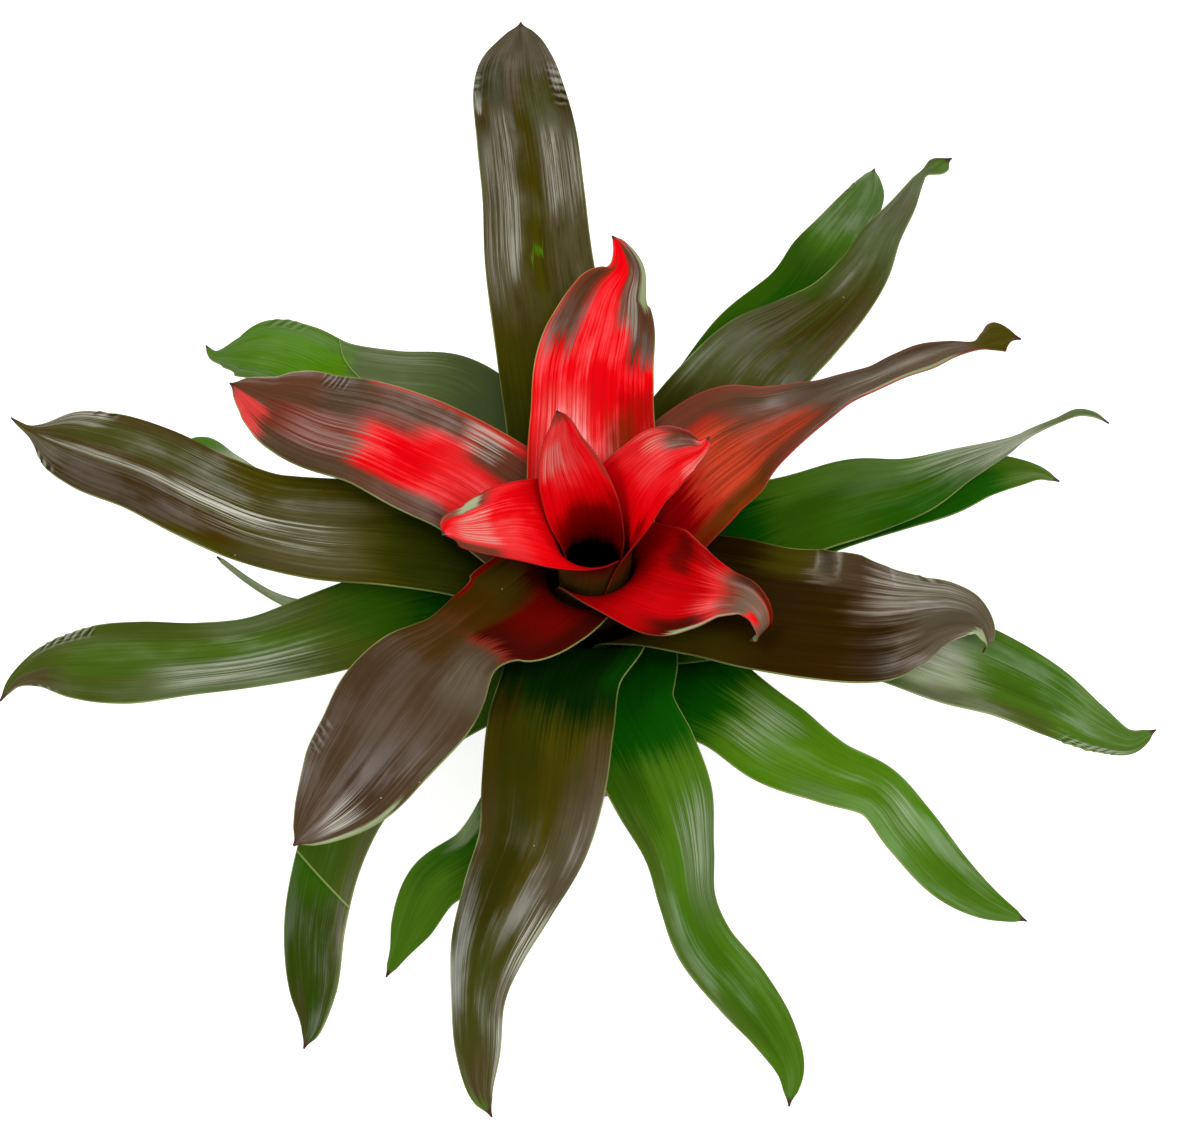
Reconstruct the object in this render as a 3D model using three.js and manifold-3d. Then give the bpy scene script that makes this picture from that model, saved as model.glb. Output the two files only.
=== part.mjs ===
// A potted neoregelia: plain nursery pot, potting mix, short stem and a rosette of separate leaves.
// Millimetres, +Z up, origin at the centre of the pot's underside.
import * as THREE from 'three';
import { mergeVertices } from 'three/addons/utils/BufferGeometryUtils.js';
import Module from 'manifold-3d';

const wasm = await Module();
wasm.setup();

// ---- driving dimensions ----
const POT_HEIGHT = 96;
const POT_TOP_RADIUS = 60;
const POT_FOOT_RADIUS = 43;
const POT_WALL = 1.6;
const POT_FLOOR = 2.4;
const POT_LIP_WIDTH = 2.6;
const POT_LIP_DEPTH = 9;
const POT_EDGE = 0.8;            // how far the lip's edges are cut back
const DRAIN_COUNT = 6;
const DRAIN_RADIUS = 4;
const DRAIN_RING = 29;
const DRAIN_SIDES = 12;
const FIT = 0.3;                 // gap between pieces that touch
const SOIL_TOP = 87;             // height of the potting mix at the pot's wall
const SOIL_CROWN = 2;            // how much it rises towards the stem
const STEM_RADIUS = 9;
const STEM_FOOT = 58;            // the stem's cut foot, down in the mix
const STEM_TOP = 131;
const STEM_EDGE = 1;
const STEM_SHOULDER = 5;         // the growing end rounds off over this height
const ROUND_SIDES = 40;

const BULB_MIDDLE = 140;         // height where the nested leaf sheaths are widest
const BULB_SQUASH = 0.9;         // the bulb's lower half is this much flatter than a ball
const LEAF_START = STEM_RADIUS + 0.6;
const LEAF_THICK = 0.9;          // along the midrib
const LEAF_EDGE = 0.7;           // at the margins
const LEAF_BASE_HALF = 12;       // half width where a leaf leaves the stem
const TIP_HALF = 0.6;
const UNWRAP_FROM = 2;           // a sheath lies round the plant up to this far past its layer
const UNWRAP_TO = 34;            // and is an open blade from here on
const BULB_STATIONS = 3;
const SHEATH_COLUMNS = 8;
const BLADE_COLUMNS = 4;
const SHEATH_END = 6;            // stations that keep the sheath's columns
const ROWS_BETWEEN = 2;          // rows of the surface for each station
const NUDGE = 0.05;              // step along and across a leaf to measure its slope

// ---- the leaves, from the cup outwards ----
// heading: compass direction of the sheath in degrees, counter-clockwise from +X
// layer: radius of the leaf's sheath in the bulb       exit: how far round the bulb it stays
// channel: how far the blade's margins turn up, in degrees
// path: stations past the bulb, [reach from the axis, height, sway to the left, half width, roll]
const LEAVES = [
  { name: 'leaf_01_cup_back', tint: 'cup', heading: 106, layer: 12.3, exit: 90, channel: 55,
    path: [[13, 165, 0, 26, 0], [14, 186, 0, 23, 0], [19, 203, 2, 19, 0], [24, 213, 4, 16, 0],
      [29, 225, 5, 10, 0], [33, 234, 4, 5, 0], [36, 240, 5, 1, 0]] },
  { name: 'leaf_02_cup_left', tint: 'cup', heading: 189, layer: 14.4, exit: 90, channel: 45,
    path: [[15, 165, 0, 32, 0], [16, 187, 0, 36, 0], [21, 198, 0, 31, 0], [32, 208, 1, 23, 0],
      [45, 215, 4, 17, 0], [54, 219, 5, 12, 0], [61, 222, 5, 7, 0], [65, 224, 8, 1, 0]] },
  { name: 'leaf_03_cup_right', tint: 'cup', heading: 34, layer: 16.4, exit: 90, channel: 45,
    path: [[17, 165, 0, 31, 0], [18, 187, 0, 26, 0], [23, 202, 1, 22, 0], [31, 215, 0, 18, 0],
      [39, 224, -3, 16, 0], [46, 229, -7, 10, 0], [50, 233, -10, 4, 0], [54, 236, -9, 1, 0]] },
  { name: 'leaf_04_red_front', tint: 'red', heading: 322, layer: 18.2, exit: 90, channel: 20,
    path: [[19, 160, 0, 36, 0], [22, 174, 0, 33, 8], [30, 185, 0, 28, 20], [44, 191, 2, 25, 26],
      [55, 196, 5, 18, 26], [65, 199, 9, 11, 18], [74, 200, 12, 8, 8], [82, 198, 11, 6, 0],
      [86, 194, 8, 5, 0], [86, 190, 5, 3, 0], [84, 188, 2, 1, 0]] },
  { name: 'leaf_05_red_lower_left', tint: 'red', heading: 226, layer: 19.8, exit: 90, channel: 18,
    path: [[21.5, 158, 0, 35, 0], [28, 172, 0, 32, 0], [42, 181, 2, 29, 0], [54, 187, 2.5, 27, 0],
      [66, 192, 0.5, 21.5, 0], [80, 199, 1, 19, 0], [100, 206, 4, 26, 0], [122, 212, 10, 29, 0],
      [142, 214, 15, 26, 0], [162, 214, 19, 22, 0], [180, 212, 20, 12, 0], [193, 210, 20, 1, 0]] },
  { name: 'leaf_06_red_back', tint: 'red', heading: 90, layer: 21.3, exit: 90, channel: 18,
    path: [[23, 157, 0, 35, 0], [30, 172, 0, 33, 0], [43, 182, 0, 30, 0], [60, 190, 0, 28, 0],
      [80, 199, -1, 27, 0], [97, 205, -5, 24, 0], [112, 209, -9, 18, 0], [125, 211, -15, 9, 0],
      [135, 213, -13, 4, 0], [142, 213, -9, 1, 0]] },
  { name: 'leaf_07_red_left', tint: 'red', heading: 153, layer: 22.9, exit: 90, channel: 16,
    path: [[25, 155, 0, 36, 0], [32, 170, 0, 34, 0], [46, 181, 0, 30, 0], [65, 189, 0, 28, 0],
      [85, 198, 4, 28, 0], [105, 206, 8, 26, 0], [125, 210, 14, 24, 0], [138, 212, 15.5, 22, 0],
      [147, 212, 16, 18.5, 0], [153, 212, 16, 14.5, 0], [158, 212, 15.5, 11, 0], [164, 212, 15, 7, 0],
      [171, 212, 15, 1, 0]] },
  { name: 'leaf_08_red_right', tint: 'red', heading: 36, layer: 24.4, exit: 88, channel: 20,
    path: [[27, 154, 0, 36, 0], [34, 168, 0, 33, 0], [47, 179, 0, 31, 0], [62, 186, 1, 30, 0],
      [80, 195, -2, 27, 0], [95, 201, -7, 20, -12], [112, 207, -12, 16, -28],
      [125, 210, -15, 14, -38], [140, 213, -20, 11, -36], [152, 214, -22, 10, -28],
      [164, 215, -25, 9, -20], [175, 216, -29, 7, -28], [185, 216, -34, 3, -20],
      [190, 216, -35, 5, 0], [196, 215, -36, 8, 0], [200, 215, -38, 4, 0],
      [204, 214, -42, 1, 0]] },
  { name: 'leaf_09_bronze_back', tint: 'bronze', heading: 100, layer: 25.9, exit: 82, channel: 14,
    path: [[30, 151, 0, 35, 0], [39, 166, 0, 33, 0], [56, 177, 0, 29, 0], [95, 189, 1, 26, 0],
      [140, 195, 0, 25, 0], [180, 192, -4, 24, 0], [220, 184, -7, 24, 0], [260, 171, -9, 22, 0],
      [284, 162, -12, 18, 0], [302, 155, -16, 11, 0], [318, 150, -19, 1, 0]] },
  { name: 'leaf_10_bronze_left', tint: 'bronze', heading: 176, layer: 27.6, exit: 82, channel: 14,
    path: [[32, 151, 0, 33, 0], [42, 164, 0, 31, 0], [58, 174, 0, 28, 0], [90, 186, 4, 26, 0],
      [120, 190, 6, 25, 0], [145, 191, 3, 23, 0], [170, 189, -7, 22, 0], [200, 184, -23, 21, 0],
      [225, 177, -34, 20, 0], [243, 172, -42, 15, 0], [256, 167, -48, 5, 0],
      [262, 165, -51, 2, 0], [271, 162, -58, 1, 0]] },
  { name: 'leaf_11_bronze_right', tint: 'bronze', heading: 339, layer: 28.9, exit: 82, channel: 10,
    path: [[33, 150, 0, 35, 0], [43, 163, 0, 32, 0], [60, 173, -1, 31, 0], [85, 183, -3, 31, 0],
      [105, 188, -1, 32, 0], [125, 189, 4, 30, 0], [138, 186, 12, 23, 0], [149, 181, 22, 16, 0],
      [157, 177, 28, 13, 0], [165, 173, 31, 10, 0], [171, 169, 30, 7, 0], [175, 166, 25, 4, 0],
      [175, 164, 20, 1, 0]] },
  { name: 'leaf_12_bronze_front', tint: 'bronze', heading: 259, layer: 30.4, exit: 82, channel: 16,
    path: [[35, 149, 0, 36, 0], [45, 162, 0, 32, 0], [60, 172, -1, 26, 0], [90, 183, 0, 27, 0],
      [120, 189, 3, 26, 0], [145, 190, 4, 23, 0], [170, 189, -1, 19.5, 0],
      [192, 186, -5, 15.5, 0], [212, 182, -5, 11, 0], [232, 176, -1, 9, 0], [246, 170, 3, 5, 0],
      [254, 166, 9, 1, 0]] },
  { name: 'leaf_13_bronze_upper_right', tint: 'bronze', heading: 49, layer: 31.9, exit: 80,
    channel: 14,
    path: [[38, 148, 0, 36, 0], [47, 160, 0, 33, 0], [62, 169, 1, 30, 0], [95, 180, 2, 28, 0],
      [120, 186, 2, 25, 0], [142, 188, -2, 20, 0], [165, 187, -4, 15, 0], [190, 184, -1, 12, 0],
      [215, 178, 7, 9, 0], [240, 170, 13, 6, 0], [260, 163, 19, 3, 0], [269, 159, 21, 2, 0],
      [277, 156, 20, 5, 0], [284, 153, 20, 4, 0], [289, 152, 19, 1, 0]] },
  { name: 'leaf_14_green_left', tint: 'green', heading: 195, layer: 33.3, exit: 70, channel: 14,
    path: [[46, 145, 0, 31, 0], [66, 157, 0, 27, 0], [95, 164, 2, 22, 0], [125, 166, 5, 20, 0],
      [155, 163, 4, 17, 0], [180, 156, -3, 17, 0], [205, 146, -13, 19, 0],
      [228, 134, -25, 17, 0], [248, 122, -35, 10, 0], [262, 113, -36, 4, 0],
      [271, 108, -30, 1, 0]] },
  { name: 'leaf_15_green_upper_left', tint: 'green', heading: 128, layer: 34.7, exit: 68,
    channel: 14,
    path: [[48, 145, 0, 30, 0], [66, 156, -2, 27, 0], [90, 163, -6, 23, 0],
      [110, 165, -2, 20, 0], [131, 164, 16, 18, 0], [154, 160, 33, 19, 0],
      [177, 154, 41, 20, 0], [195, 146, 50, 20, 0], [203, 142, 58, 11, 0], [210, 138, 64, 3, 0],
      [219, 134, 63, 1, 0]] },
  { name: 'leaf_16_green_front', tint: 'green', heading: 285, layer: 36.1, exit: 68, channel: 14,
    path: [[49, 144, -1, 30, 0], [68, 155, -5, 24, 0], [95, 162, -2, 23, 0],
      [120, 165, 0, 21, 0], [142, 164, 0, 15, 0], [162, 160, -2, 12, 0], [180, 155, 0, 12.5, 0],
      [200, 147, 10, 12.5, 0], [218, 138, 19, 10, 0], [234, 129, 23, 6, 0],
      [247, 122, 19, 1, 0]] },
  { name: 'leaf_17_green_lower_right', tint: 'green', heading: 345, layer: 37.5, exit: 67,
    channel: 14,
    path: [[50, 143, 0, 32, 0], [70, 155, 0, 28, 0], [100, 164, -1, 25, 0],
      [130, 165, -1, 24, 0], [160, 158, -2, 23, 0], [185, 150, -1, 20, 0],
      [210, 140, -2, 17, 0], [232, 129, -4, 12, 0], [249, 120, -2, 6, 0], [260, 115, 9, 1, 0]] },
  { name: 'leaf_18_green_lower_left', tint: 'green', heading: 227, layer: 38.9, exit: 66,
    channel: 14,
    path: [[51, 142, 0, 32, 0], [72, 154, 0, 25, 0], [100, 161, -1, 19, 0],
      [125, 163, 0, 18, 0], [150, 161, 2, 17, 0], [175, 155, 12, 15, 0], [198, 147, 26, 14, 0],
      [217, 138, 43, 11, 0], [228, 131, 52, 5, 0], [236, 126, 55, 1, 0]] },
  { name: 'leaf_19_green_upper_right', tint: 'green', heading: 57, layer: 40.3, exit: 65,
    channel: 14,
    path: [[53, 141, 0, 32, 0], [75, 153, 0, 26, 0], [105, 160, 2, 21, 0], [140, 162, 3, 19, 0],
      [180, 155, 0, 16, 0], [210, 143, 4, 16, 0], [240, 128, 9, 13, 0], [265, 114, 13, 11, 0],
      [283, 105, 17, 8, 0], [302, 95, 24, 1, 0]] },
  { name: 'leaf_20_green_right', tint: 'green', heading: 16, layer: 41.7, exit: 62, channel: 14,
    path: [[54, 138, 0, 32, 0], [72, 149, 0, 27, 0], [97, 158, 0, 21, 0], [125, 163, -1, 20, 0],
      [150, 162, -1, 15, 0], [175, 157, 6, 9, 0], [203, 145, 16, 4, 0], [212, 141, 20, 2.4, 0],
      [220, 137, 24, 2, 0], [238, 127, 32, 1.6, 0], [252, 120, 37, 2, 0],
      [260, 117, 35, 1.6, 0], [266, 113, 31, 1, 0]] },
  { name: 'leaf_21_green_front_right', tint: 'green', heading: 312, layer: 43.1, exit: 61,
    channel: 14,
    path: [[55, 136, 0, 32, 0], [72, 147, -3, 26, 0], [95, 156, -1, 21, 0],
      [120, 162, 1, 20, 0], [142, 163, 8, 15, 0], [162, 160, 18, 12.5, 0],
      [182, 154, 18, 13, 0], [204, 145, 19, 11.5, 0], [222, 136, 25, 7.5, 0],
      [239, 126, 36, 1, 0]] },
  { name: 'leaf_22_green_under_front', tint: 'green', heading: 252, layer: 44.5, exit: 60,
    channel: 12,
    path: [[56, 135, 0, 32, 0], [75, 146, 2, 22, 0], [100, 153, 4, 16, 0], [122, 155, 3, 15, 0],
      [142, 154, -4, 13, 0], [160, 151, -18, 12, 0], [178, 145, -22, 9, 0],
      [190, 140, -24, 4, 0], [200, 136, -26, 1, 0]] },
  { name: 'leaf_23_green_under_right', tint: 'green', heading: 15, layer: 45.9, exit: 58,
    channel: 12,
    path: [[57, 132, 0, 30, 0], [76, 142, 0, 23, 0], [105, 152, 0, 18, 0], [140, 155, 1, 17, 0],
      [165, 152, 3, 15, 0], [185, 147, 7, 12, 0], [205, 139, 9, 8, 0], [217, 134, 8, 4, 0],
      [226, 130, 3, 1, 0]] },
  { name: 'leaf_24_green_under_back', tint: 'green', heading: 166, layer: 47.3, exit: 58,
    channel: 12,
    path: [[58, 131, 0, 30, 0], [76, 142, 0, 22, 0], [105, 152, 0, 17, 0],
      [135, 153, -2, 15, 0], [160, 149, -5, 12, 0], [180, 144, -15, 11, 0],
      [195, 140, -26, 8, 0], [205, 137, -31, 1, 0]] },
  { name: 'leaf_25_green_under_left', tint: 'green', heading: 190, layer: 48.8, exit: 56,
    channel: 12,
    path: [[59, 128, 0, 30, 0], [76, 136, 0, 22, 0], [95, 143, -3, 14, 0], [112, 146, -5, 9, 0],
      [124, 147, -7, 5, 0], [132, 147, -11, 3, 0], [142, 146, -18, 2, 0],
      [152, 145, -28, 1.6, 0], [165, 143, -44, 1, 0]] },
];

// ---- materials ----
const TINTS = {
  cup: { color: 0xb01418, roughness: 0.35 },
  red: { color: 0xc81012, roughness: 0.35 },
  bronze: { color: 0x4e4432, roughness: 0.38 },
  green: { color: 0x3f7a24, roughness: 0.42 },
  pot: { color: 0x1c1d1e, roughness: 0.55 },
  soil: { color: 0x3a2a1e, roughness: 0.95 },
  stem: { color: 0x6b5a3c, roughness: 0.8 },
};

function material(tint) {
  return new THREE.MeshStandardMaterial({ ...TINTS[tint], metalness: 0 });
}

function node(name, tint, geometry) {
  const mesh = new THREE.Mesh(geometry, material(tint));
  mesh.name = name;
  return mesh;
}

// ---- solids through manifold ----
function toSolid(geometry) {
  const bare = geometry.clone();
  bare.deleteAttribute('normal');
  bare.deleteAttribute('uv');
  const merged = mergeVertices(bare, 1e-4);
  return new wasm.Manifold(new wasm.Mesh({
    numProp: 3,
    vertProperties: new Float32Array(merged.attributes.position.array),
    triVerts: new Uint32Array(merged.index.array),
  }));
}

function toGeometry(solid) {
  const mesh = solid.getMesh();
  const geometry = new THREE.BufferGeometry();
  geometry.setAttribute('position', new THREE.BufferAttribute(new Float32Array(mesh.vertProperties), 3));
  geometry.setIndex(new THREE.BufferAttribute(new Uint32Array(mesh.triVerts), 1));
  geometry.computeVertexNormals();
  return geometry;
}

function turned(profile, sides = ROUND_SIDES) {
  const points = profile.map(([radius, height]) => new THREE.Vector2(radius, height));
  return new THREE.LatheGeometry(points, sides).rotateX(Math.PI / 2);
}

function pin(radius, low, high, sides) {
  return new THREE.CylinderGeometry(radius, radius, high - low, sides)
    .rotateX(Math.PI / 2)
    .translate(0, 0, (low + high) / 2);
}

// ---- pot, potting mix and stem ----
function potOuterRadius(height) {
  return THREE.MathUtils.mapLinear(height, 0, POT_HEIGHT, POT_FOOT_RADIUS, POT_TOP_RADIUS);
}

function buildPot() {
  const lipFoot = POT_HEIGHT - POT_LIP_DEPTH;
  const lip = potOuterRadius(POT_HEIGHT) + POT_LIP_WIDTH;
  let pot = toSolid(turned([
    [0, 0], [POT_FOOT_RADIUS, 0],
    [potOuterRadius(lipFoot), lipFoot], [lip - POT_EDGE, lipFoot + POT_EDGE],
    [lip, POT_HEIGHT - POT_EDGE], [lip - POT_EDGE, POT_HEIGHT],
    [potOuterRadius(POT_HEIGHT) - POT_WALL, POT_HEIGHT],
    [potOuterRadius(POT_FLOOR) - POT_WALL, POT_FLOOR], [0, POT_FLOOR],
  ]));
  for (let k = 0; k < DRAIN_COUNT; k += 1) {
    const angle = (2 * Math.PI * (k + 0.5)) / DRAIN_COUNT;
    const hole = pin(DRAIN_RADIUS, -POT_FLOOR, 2 * POT_FLOOR, DRAIN_SIDES)
      .translate(DRAIN_RING * Math.cos(angle), DRAIN_RING * Math.sin(angle), 0);
    pot = pot.subtract(toSolid(hole));
  }
  return toGeometry(pot);
}

function buildSoil() {
  const floor = POT_FLOOR + FIT;
  const inside = (height) => potOuterRadius(height) - POT_WALL - FIT;
  const body = toSolid(turned([
    [0, floor], [inside(floor), floor], [inside(SOIL_TOP), SOIL_TOP], [0, SOIL_TOP + SOIL_CROWN],
  ]));
  const hole = pin(STEM_RADIUS + FIT, STEM_FOOT - FIT, POT_HEIGHT, ROUND_SIDES);
  return toGeometry(body.subtract(toSolid(hole)));
}

function buildStem() {
  return turned([
    [0, STEM_FOOT], [STEM_RADIUS - STEM_EDGE, STEM_FOOT], [STEM_RADIUS, STEM_FOOT + STEM_EDGE],
    [STEM_RADIUS, STEM_TOP - STEM_SHOULDER], [STEM_RADIUS / 2, STEM_TOP - STEM_EDGE], [0, STEM_TOP],
  ]);
}

// ---- one leaf ----
function smooth(low, high, value) {
  const t = THREE.MathUtils.clamp((value - low) / (high - low), 0, 1);
  return t * t * (3 - 2 * t);
}

// The leaf's stations: on the stem, along its layer of the bulb, then its own path.
function stationsOf(leaf) {
  const stations = [];
  const start = Math.asin(LEAF_START / leaf.layer);
  const end = THREE.MathUtils.degToRad(leaf.exit);
  const sheathHalf = leaf.path[0][3];
  for (let k = 0; k <= BULB_STATIONS; k += 1) {
    const share = k / BULB_STATIONS;
    const around = start + (end - start) * share;
    stations.push([
      leaf.layer * Math.sin(around), BULB_MIDDLE - BULB_SQUASH * leaf.layer * Math.cos(around), 0,
      THREE.MathUtils.lerp(LEAF_BASE_HALF, sheathHalf, smooth(0, 1, share)), 0,
    ]);
  }
  return stations.concat(leaf.path);
}

// Knots a square root of the distance apart keep the curve through uneven stations smooth.
function knotsOf(stations) {
  const knots = [0];
  for (let k = 1; k < stations.length; k += 1) {
    const step = Math.hypot(...[0, 1, 2].map((n) => stations[k][n] - stations[k - 1][n]));
    knots.push(knots[k - 1] + Math.sqrt(step));
  }
  return knots;
}

function slopeAt(stations, knots, k, n) {
  const rise = (m) => (stations[m + 1][n] - stations[m][n]) / (knots[m + 1] - knots[m]);
  if (k === 0) return rise(0);
  if (k === stations.length - 1) return rise(k - 1);
  const before = knots[k] - knots[k - 1];
  const after = knots[k + 1] - knots[k];
  return (rise(k - 1) * after + rise(k) * before) / (before + after);
}

// A cubic through the stations: the leaf's reach, height, sway, half width and roll at a place.
function stationAt(stations, knots, place) {
  const k = THREE.MathUtils.clamp(Math.floor(place), 0, stations.length - 2);
  const u = place - k;
  const span = knots[k + 1] - knots[k];
  return stations[k].map((value, n) => (
    value * (1 + 2 * u) * (1 - u) ** 2 + stations[k + 1][n] * u * u * (3 - 2 * u)
    + span * slopeAt(stations, knots, k, n) * u * (1 - u) ** 2
    + span * slopeAt(stations, knots, k + 1, n) * u * u * (u - 1)));
}

// Makes the leaf's middle surface: place counts stations from the stem, across is -1 at the
// right margin and 1 at the left. The leaf points along +X here and is turned to its heading later.
function middleSurface(leaf) {
  const stations = stationsOf(leaf);
  const knots = knotsOf(stations);
  const widest = Math.max(...leaf.path.slice(3).map((station) => station[3]));
  const bend = THREE.MathUtils.degToRad(leaf.channel) / widest;
  return (place, across) => {
    const [reach, height, sway, half, roll] = stationAt(stations, knots, place);
    const near = stationAt(stations, knots, Math.max(place - NUDGE, 0));
    const far = stationAt(stations, knots, Math.min(place + NUDGE, stations.length - 1));
    const forward = new THREE.Vector3(far[0] - near[0], far[2] - near[2], far[1] - near[1]).normalize();
    const arc = across * Math.max(half, TIP_HALF);
    const wrapped = new THREE.Vector3(
      reach * Math.cos(arc / reach), reach * Math.sin(arc / reach) + sway, height);
    const left = new THREE.Vector3(0, 1, 0).addScaledVector(forward, -forward.y).normalize();
    left.applyAxisAngle(forward, THREE.MathUtils.degToRad(roll));
    const up = new THREE.Vector3().crossVectors(forward, left);
    const open = new THREE.Vector3(reach, sway, height)
      .addScaledVector(left, Math.sin(bend * arc) / bend)
      .addScaledVector(up, (1 - Math.cos(bend * arc)) / bend);
    return wrapped.lerp(open, smooth(leaf.layer + UNWRAP_FROM, leaf.layer + UNWRAP_TO, reach));
  };
}

function buildLeaf(leaf) {
  const surface = middleSurface(leaf);
  const last = BULB_STATIONS + leaf.path.length;
  const rowCount = BULB_STATIONS + (last - BULB_STATIONS) * ROWS_BETWEEN;
  const positions = [];
  const upper = [];
  const lower = [];
  for (let row = 0; row <= rowCount; row += 1) {
    const place = row < BULB_STATIONS ? row : BULB_STATIONS + (row - BULB_STATIONS) / ROWS_BETWEEN;
    const columns = place < SHEATH_END ? SHEATH_COLUMNS : BLADE_COLUMNS;
    upper.push([]);
    lower.push([]);
    for (let column = 0; column <= columns; column += 1) {
      const across = -1 + (2 * column) / columns;
      const offset = faceNormal(surface, place, across, last)
        .multiplyScalar(THREE.MathUtils.lerp(LEAF_THICK, LEAF_EDGE, across * across) / 2);
      const middle = surface(place, across);
      positions.push(middle.clone().add(offset), middle.clone().sub(offset));
      upper.at(-1).push({ across, id: positions.length - 2 });
      lower.at(-1).push({ across, id: positions.length - 1 });
    }
  }
  return leafGeometry(positions, skin(upper, lower), leaf.heading);
}

function faceNormal(surface, place, across, last) {
  const a = THREE.MathUtils.clamp(place, NUDGE, last - NUDGE);
  const b = THREE.MathUtils.clamp(across, NUDGE - 1, 1 - NUDGE);
  const forward = surface(a + NUDGE, b).sub(surface(a - NUDGE, b));
  const sideways = surface(a, b + NUDGE).sub(surface(a, b - NUDGE));
  return forward.cross(sideways).normalize();
}

// Closes the two faces with walls along the margins and a cap at each end.
function skin(upper, lower) {
  const triangles = [];
  for (let k = 1; k < upper.length; k += 1) {
    zip(upper[k - 1], upper[k], triangles, false);
    zip(lower[k - 1], lower[k], triangles, true);
    wall(upper[k - 1][0], upper[k][0], lower[k - 1][0], lower[k][0], triangles);
    wall(lower[k - 1].at(-1), lower[k].at(-1), upper[k - 1].at(-1), upper[k].at(-1), triangles);
  }
  cap(upper[0], lower[0], triangles, false);
  cap(upper.at(-1), lower.at(-1), triangles, true);
  return triangles;
}

// Joins two rows of a face, also where one has more columns than the other.
function zip(near, far, triangles, flip) {
  let n = 0;
  let f = 0;
  while (n < near.length - 1 || f < far.length - 1) {
    const nextNear = n < near.length - 1 ? near[n + 1].across : Infinity;
    const nextFar = f < far.length - 1 ? far[f + 1].across : Infinity;
    const stepNear = nextNear <= nextFar;
    const third = stepNear ? near[n + 1].id : far[f + 1].id;
    triangles.push(flip ? [near[n].id, third, far[f].id] : [near[n].id, far[f].id, third]);
    if (stepNear) n += 1;
    else f += 1;
  }
}

function wall(a, b, c, d, triangles) {
  triangles.push([a.id, c.id, d.id], [a.id, d.id, b.id]);
}

function cap(upperRow, lowerRow, triangles, flip) {
  for (let k = 1; k < upperRow.length; k += 1) {
    const [a, b, c, d] = [upperRow[k - 1].id, upperRow[k].id, lowerRow[k - 1].id, lowerRow[k].id];
    if (flip) triangles.push([a, d, b], [a, c, d]);
    else triangles.push([a, b, d], [a, d, c]);
  }
}

function leafGeometry(positions, triangles, heading) {
  const geometry = new THREE.BufferGeometry().setFromPoints(positions);
  geometry.setIndex(triangles.flat());
  geometry.rotateZ(THREE.MathUtils.degToRad(heading));
  geometry.computeVertexNormals();
  return geometry;
}

const plant = new THREE.Group();
plant.add(node('pot', 'pot', buildPot()));
plant.add(node('soil', 'soil', buildSoil()));
plant.add(node('stem', 'stem', buildStem()));
for (const leaf of LEAVES) plant.add(node(leaf.name, leaf.tint, buildLeaf(leaf)));

export default plant;
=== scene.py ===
"""A potted neoregelia bromeliad: fine leaves, pot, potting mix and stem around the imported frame."""

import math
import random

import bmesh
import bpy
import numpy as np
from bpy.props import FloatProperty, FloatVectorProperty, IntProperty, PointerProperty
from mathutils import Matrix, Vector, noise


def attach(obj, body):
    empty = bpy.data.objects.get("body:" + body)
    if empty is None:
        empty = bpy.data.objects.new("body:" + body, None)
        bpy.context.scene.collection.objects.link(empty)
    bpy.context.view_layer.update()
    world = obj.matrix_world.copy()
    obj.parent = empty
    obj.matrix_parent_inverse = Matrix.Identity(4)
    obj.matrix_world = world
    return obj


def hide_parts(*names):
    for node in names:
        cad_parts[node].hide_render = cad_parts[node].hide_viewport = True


bl_info = {
    "name": "Potted neoregelia",
    "version": (1, 0, 0),
    "blender": (4, 5, 0),
    "location": "View3D > Sidebar > Neoregelia",
    "description": "Builds a potted neoregelia bromeliad leaf by leaf, with pot, potting mix and stage",
    "category": "Object",
}

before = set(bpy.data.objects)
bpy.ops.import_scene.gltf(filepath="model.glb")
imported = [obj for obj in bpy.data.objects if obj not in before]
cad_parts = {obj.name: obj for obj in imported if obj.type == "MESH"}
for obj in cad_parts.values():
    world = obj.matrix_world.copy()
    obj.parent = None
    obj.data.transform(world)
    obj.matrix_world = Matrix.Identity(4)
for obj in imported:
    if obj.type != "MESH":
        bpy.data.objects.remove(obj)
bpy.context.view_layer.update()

MM = 0.001
TURN = 2 * math.pi

# ---- the leaf form, in millimetres, as the solids have it ----
STEM_RADIUS = 9
BULB_MIDDLE = 140  # height of the middle of the bulb of sheaths
BULB_SQUASH = 0.9  # its height as a share of its width
BULB_STATIONS = 3
LEAF_START = STEM_RADIUS + 0.6  # reach and half width where a sheath leaves the stem
LEAF_BASE_HALF = 12
TIP_HALF = 0.6
UNWRAP_FROM = 2  # how far past its layer a sheath begins to open, and is open
UNWRAP_TO = 34
NUDGE = 0.05  # step over the surface when its slope is measured
LENGTH_SAMPLES = 1200  # points by which a leaf's length is measured

# ---- the fine shape of a blade: heights in millimetres, places as shares of its length ----
BLADE_FROM = (0.3, 0.45)  # where the slow undulation sets in
CALM_FROM = 0.9  # where it dies down, and by what share at the tip
CALM_SHARE = 0.6
ROCK_HEIGHT = 0.35  # the margins rock: one rises as the other falls
ROCK_WAVE = 19
SWELL_HEIGHT = 0.25  # both margins rise and fall together, round this level
SWELL_WAVE = 31
SWELL_LEVEL = 0.3
RUFFLE_FADE = 0.01  # how soon a run of crinkles and a ridge reach their height
CREASE_FADE = 0.1
SPINE_FROM = 0.975  # where the tip draws in to its spine, and by what share
SPINE_SHARE = 0.6
THIN_FROM = 0.96  # where the blade thins towards its tip, and by what share
THIN_SHARE = 0.5
TIP_CROWDING = 1.25  # power that crowds the grid's rows towards the tip

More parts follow.
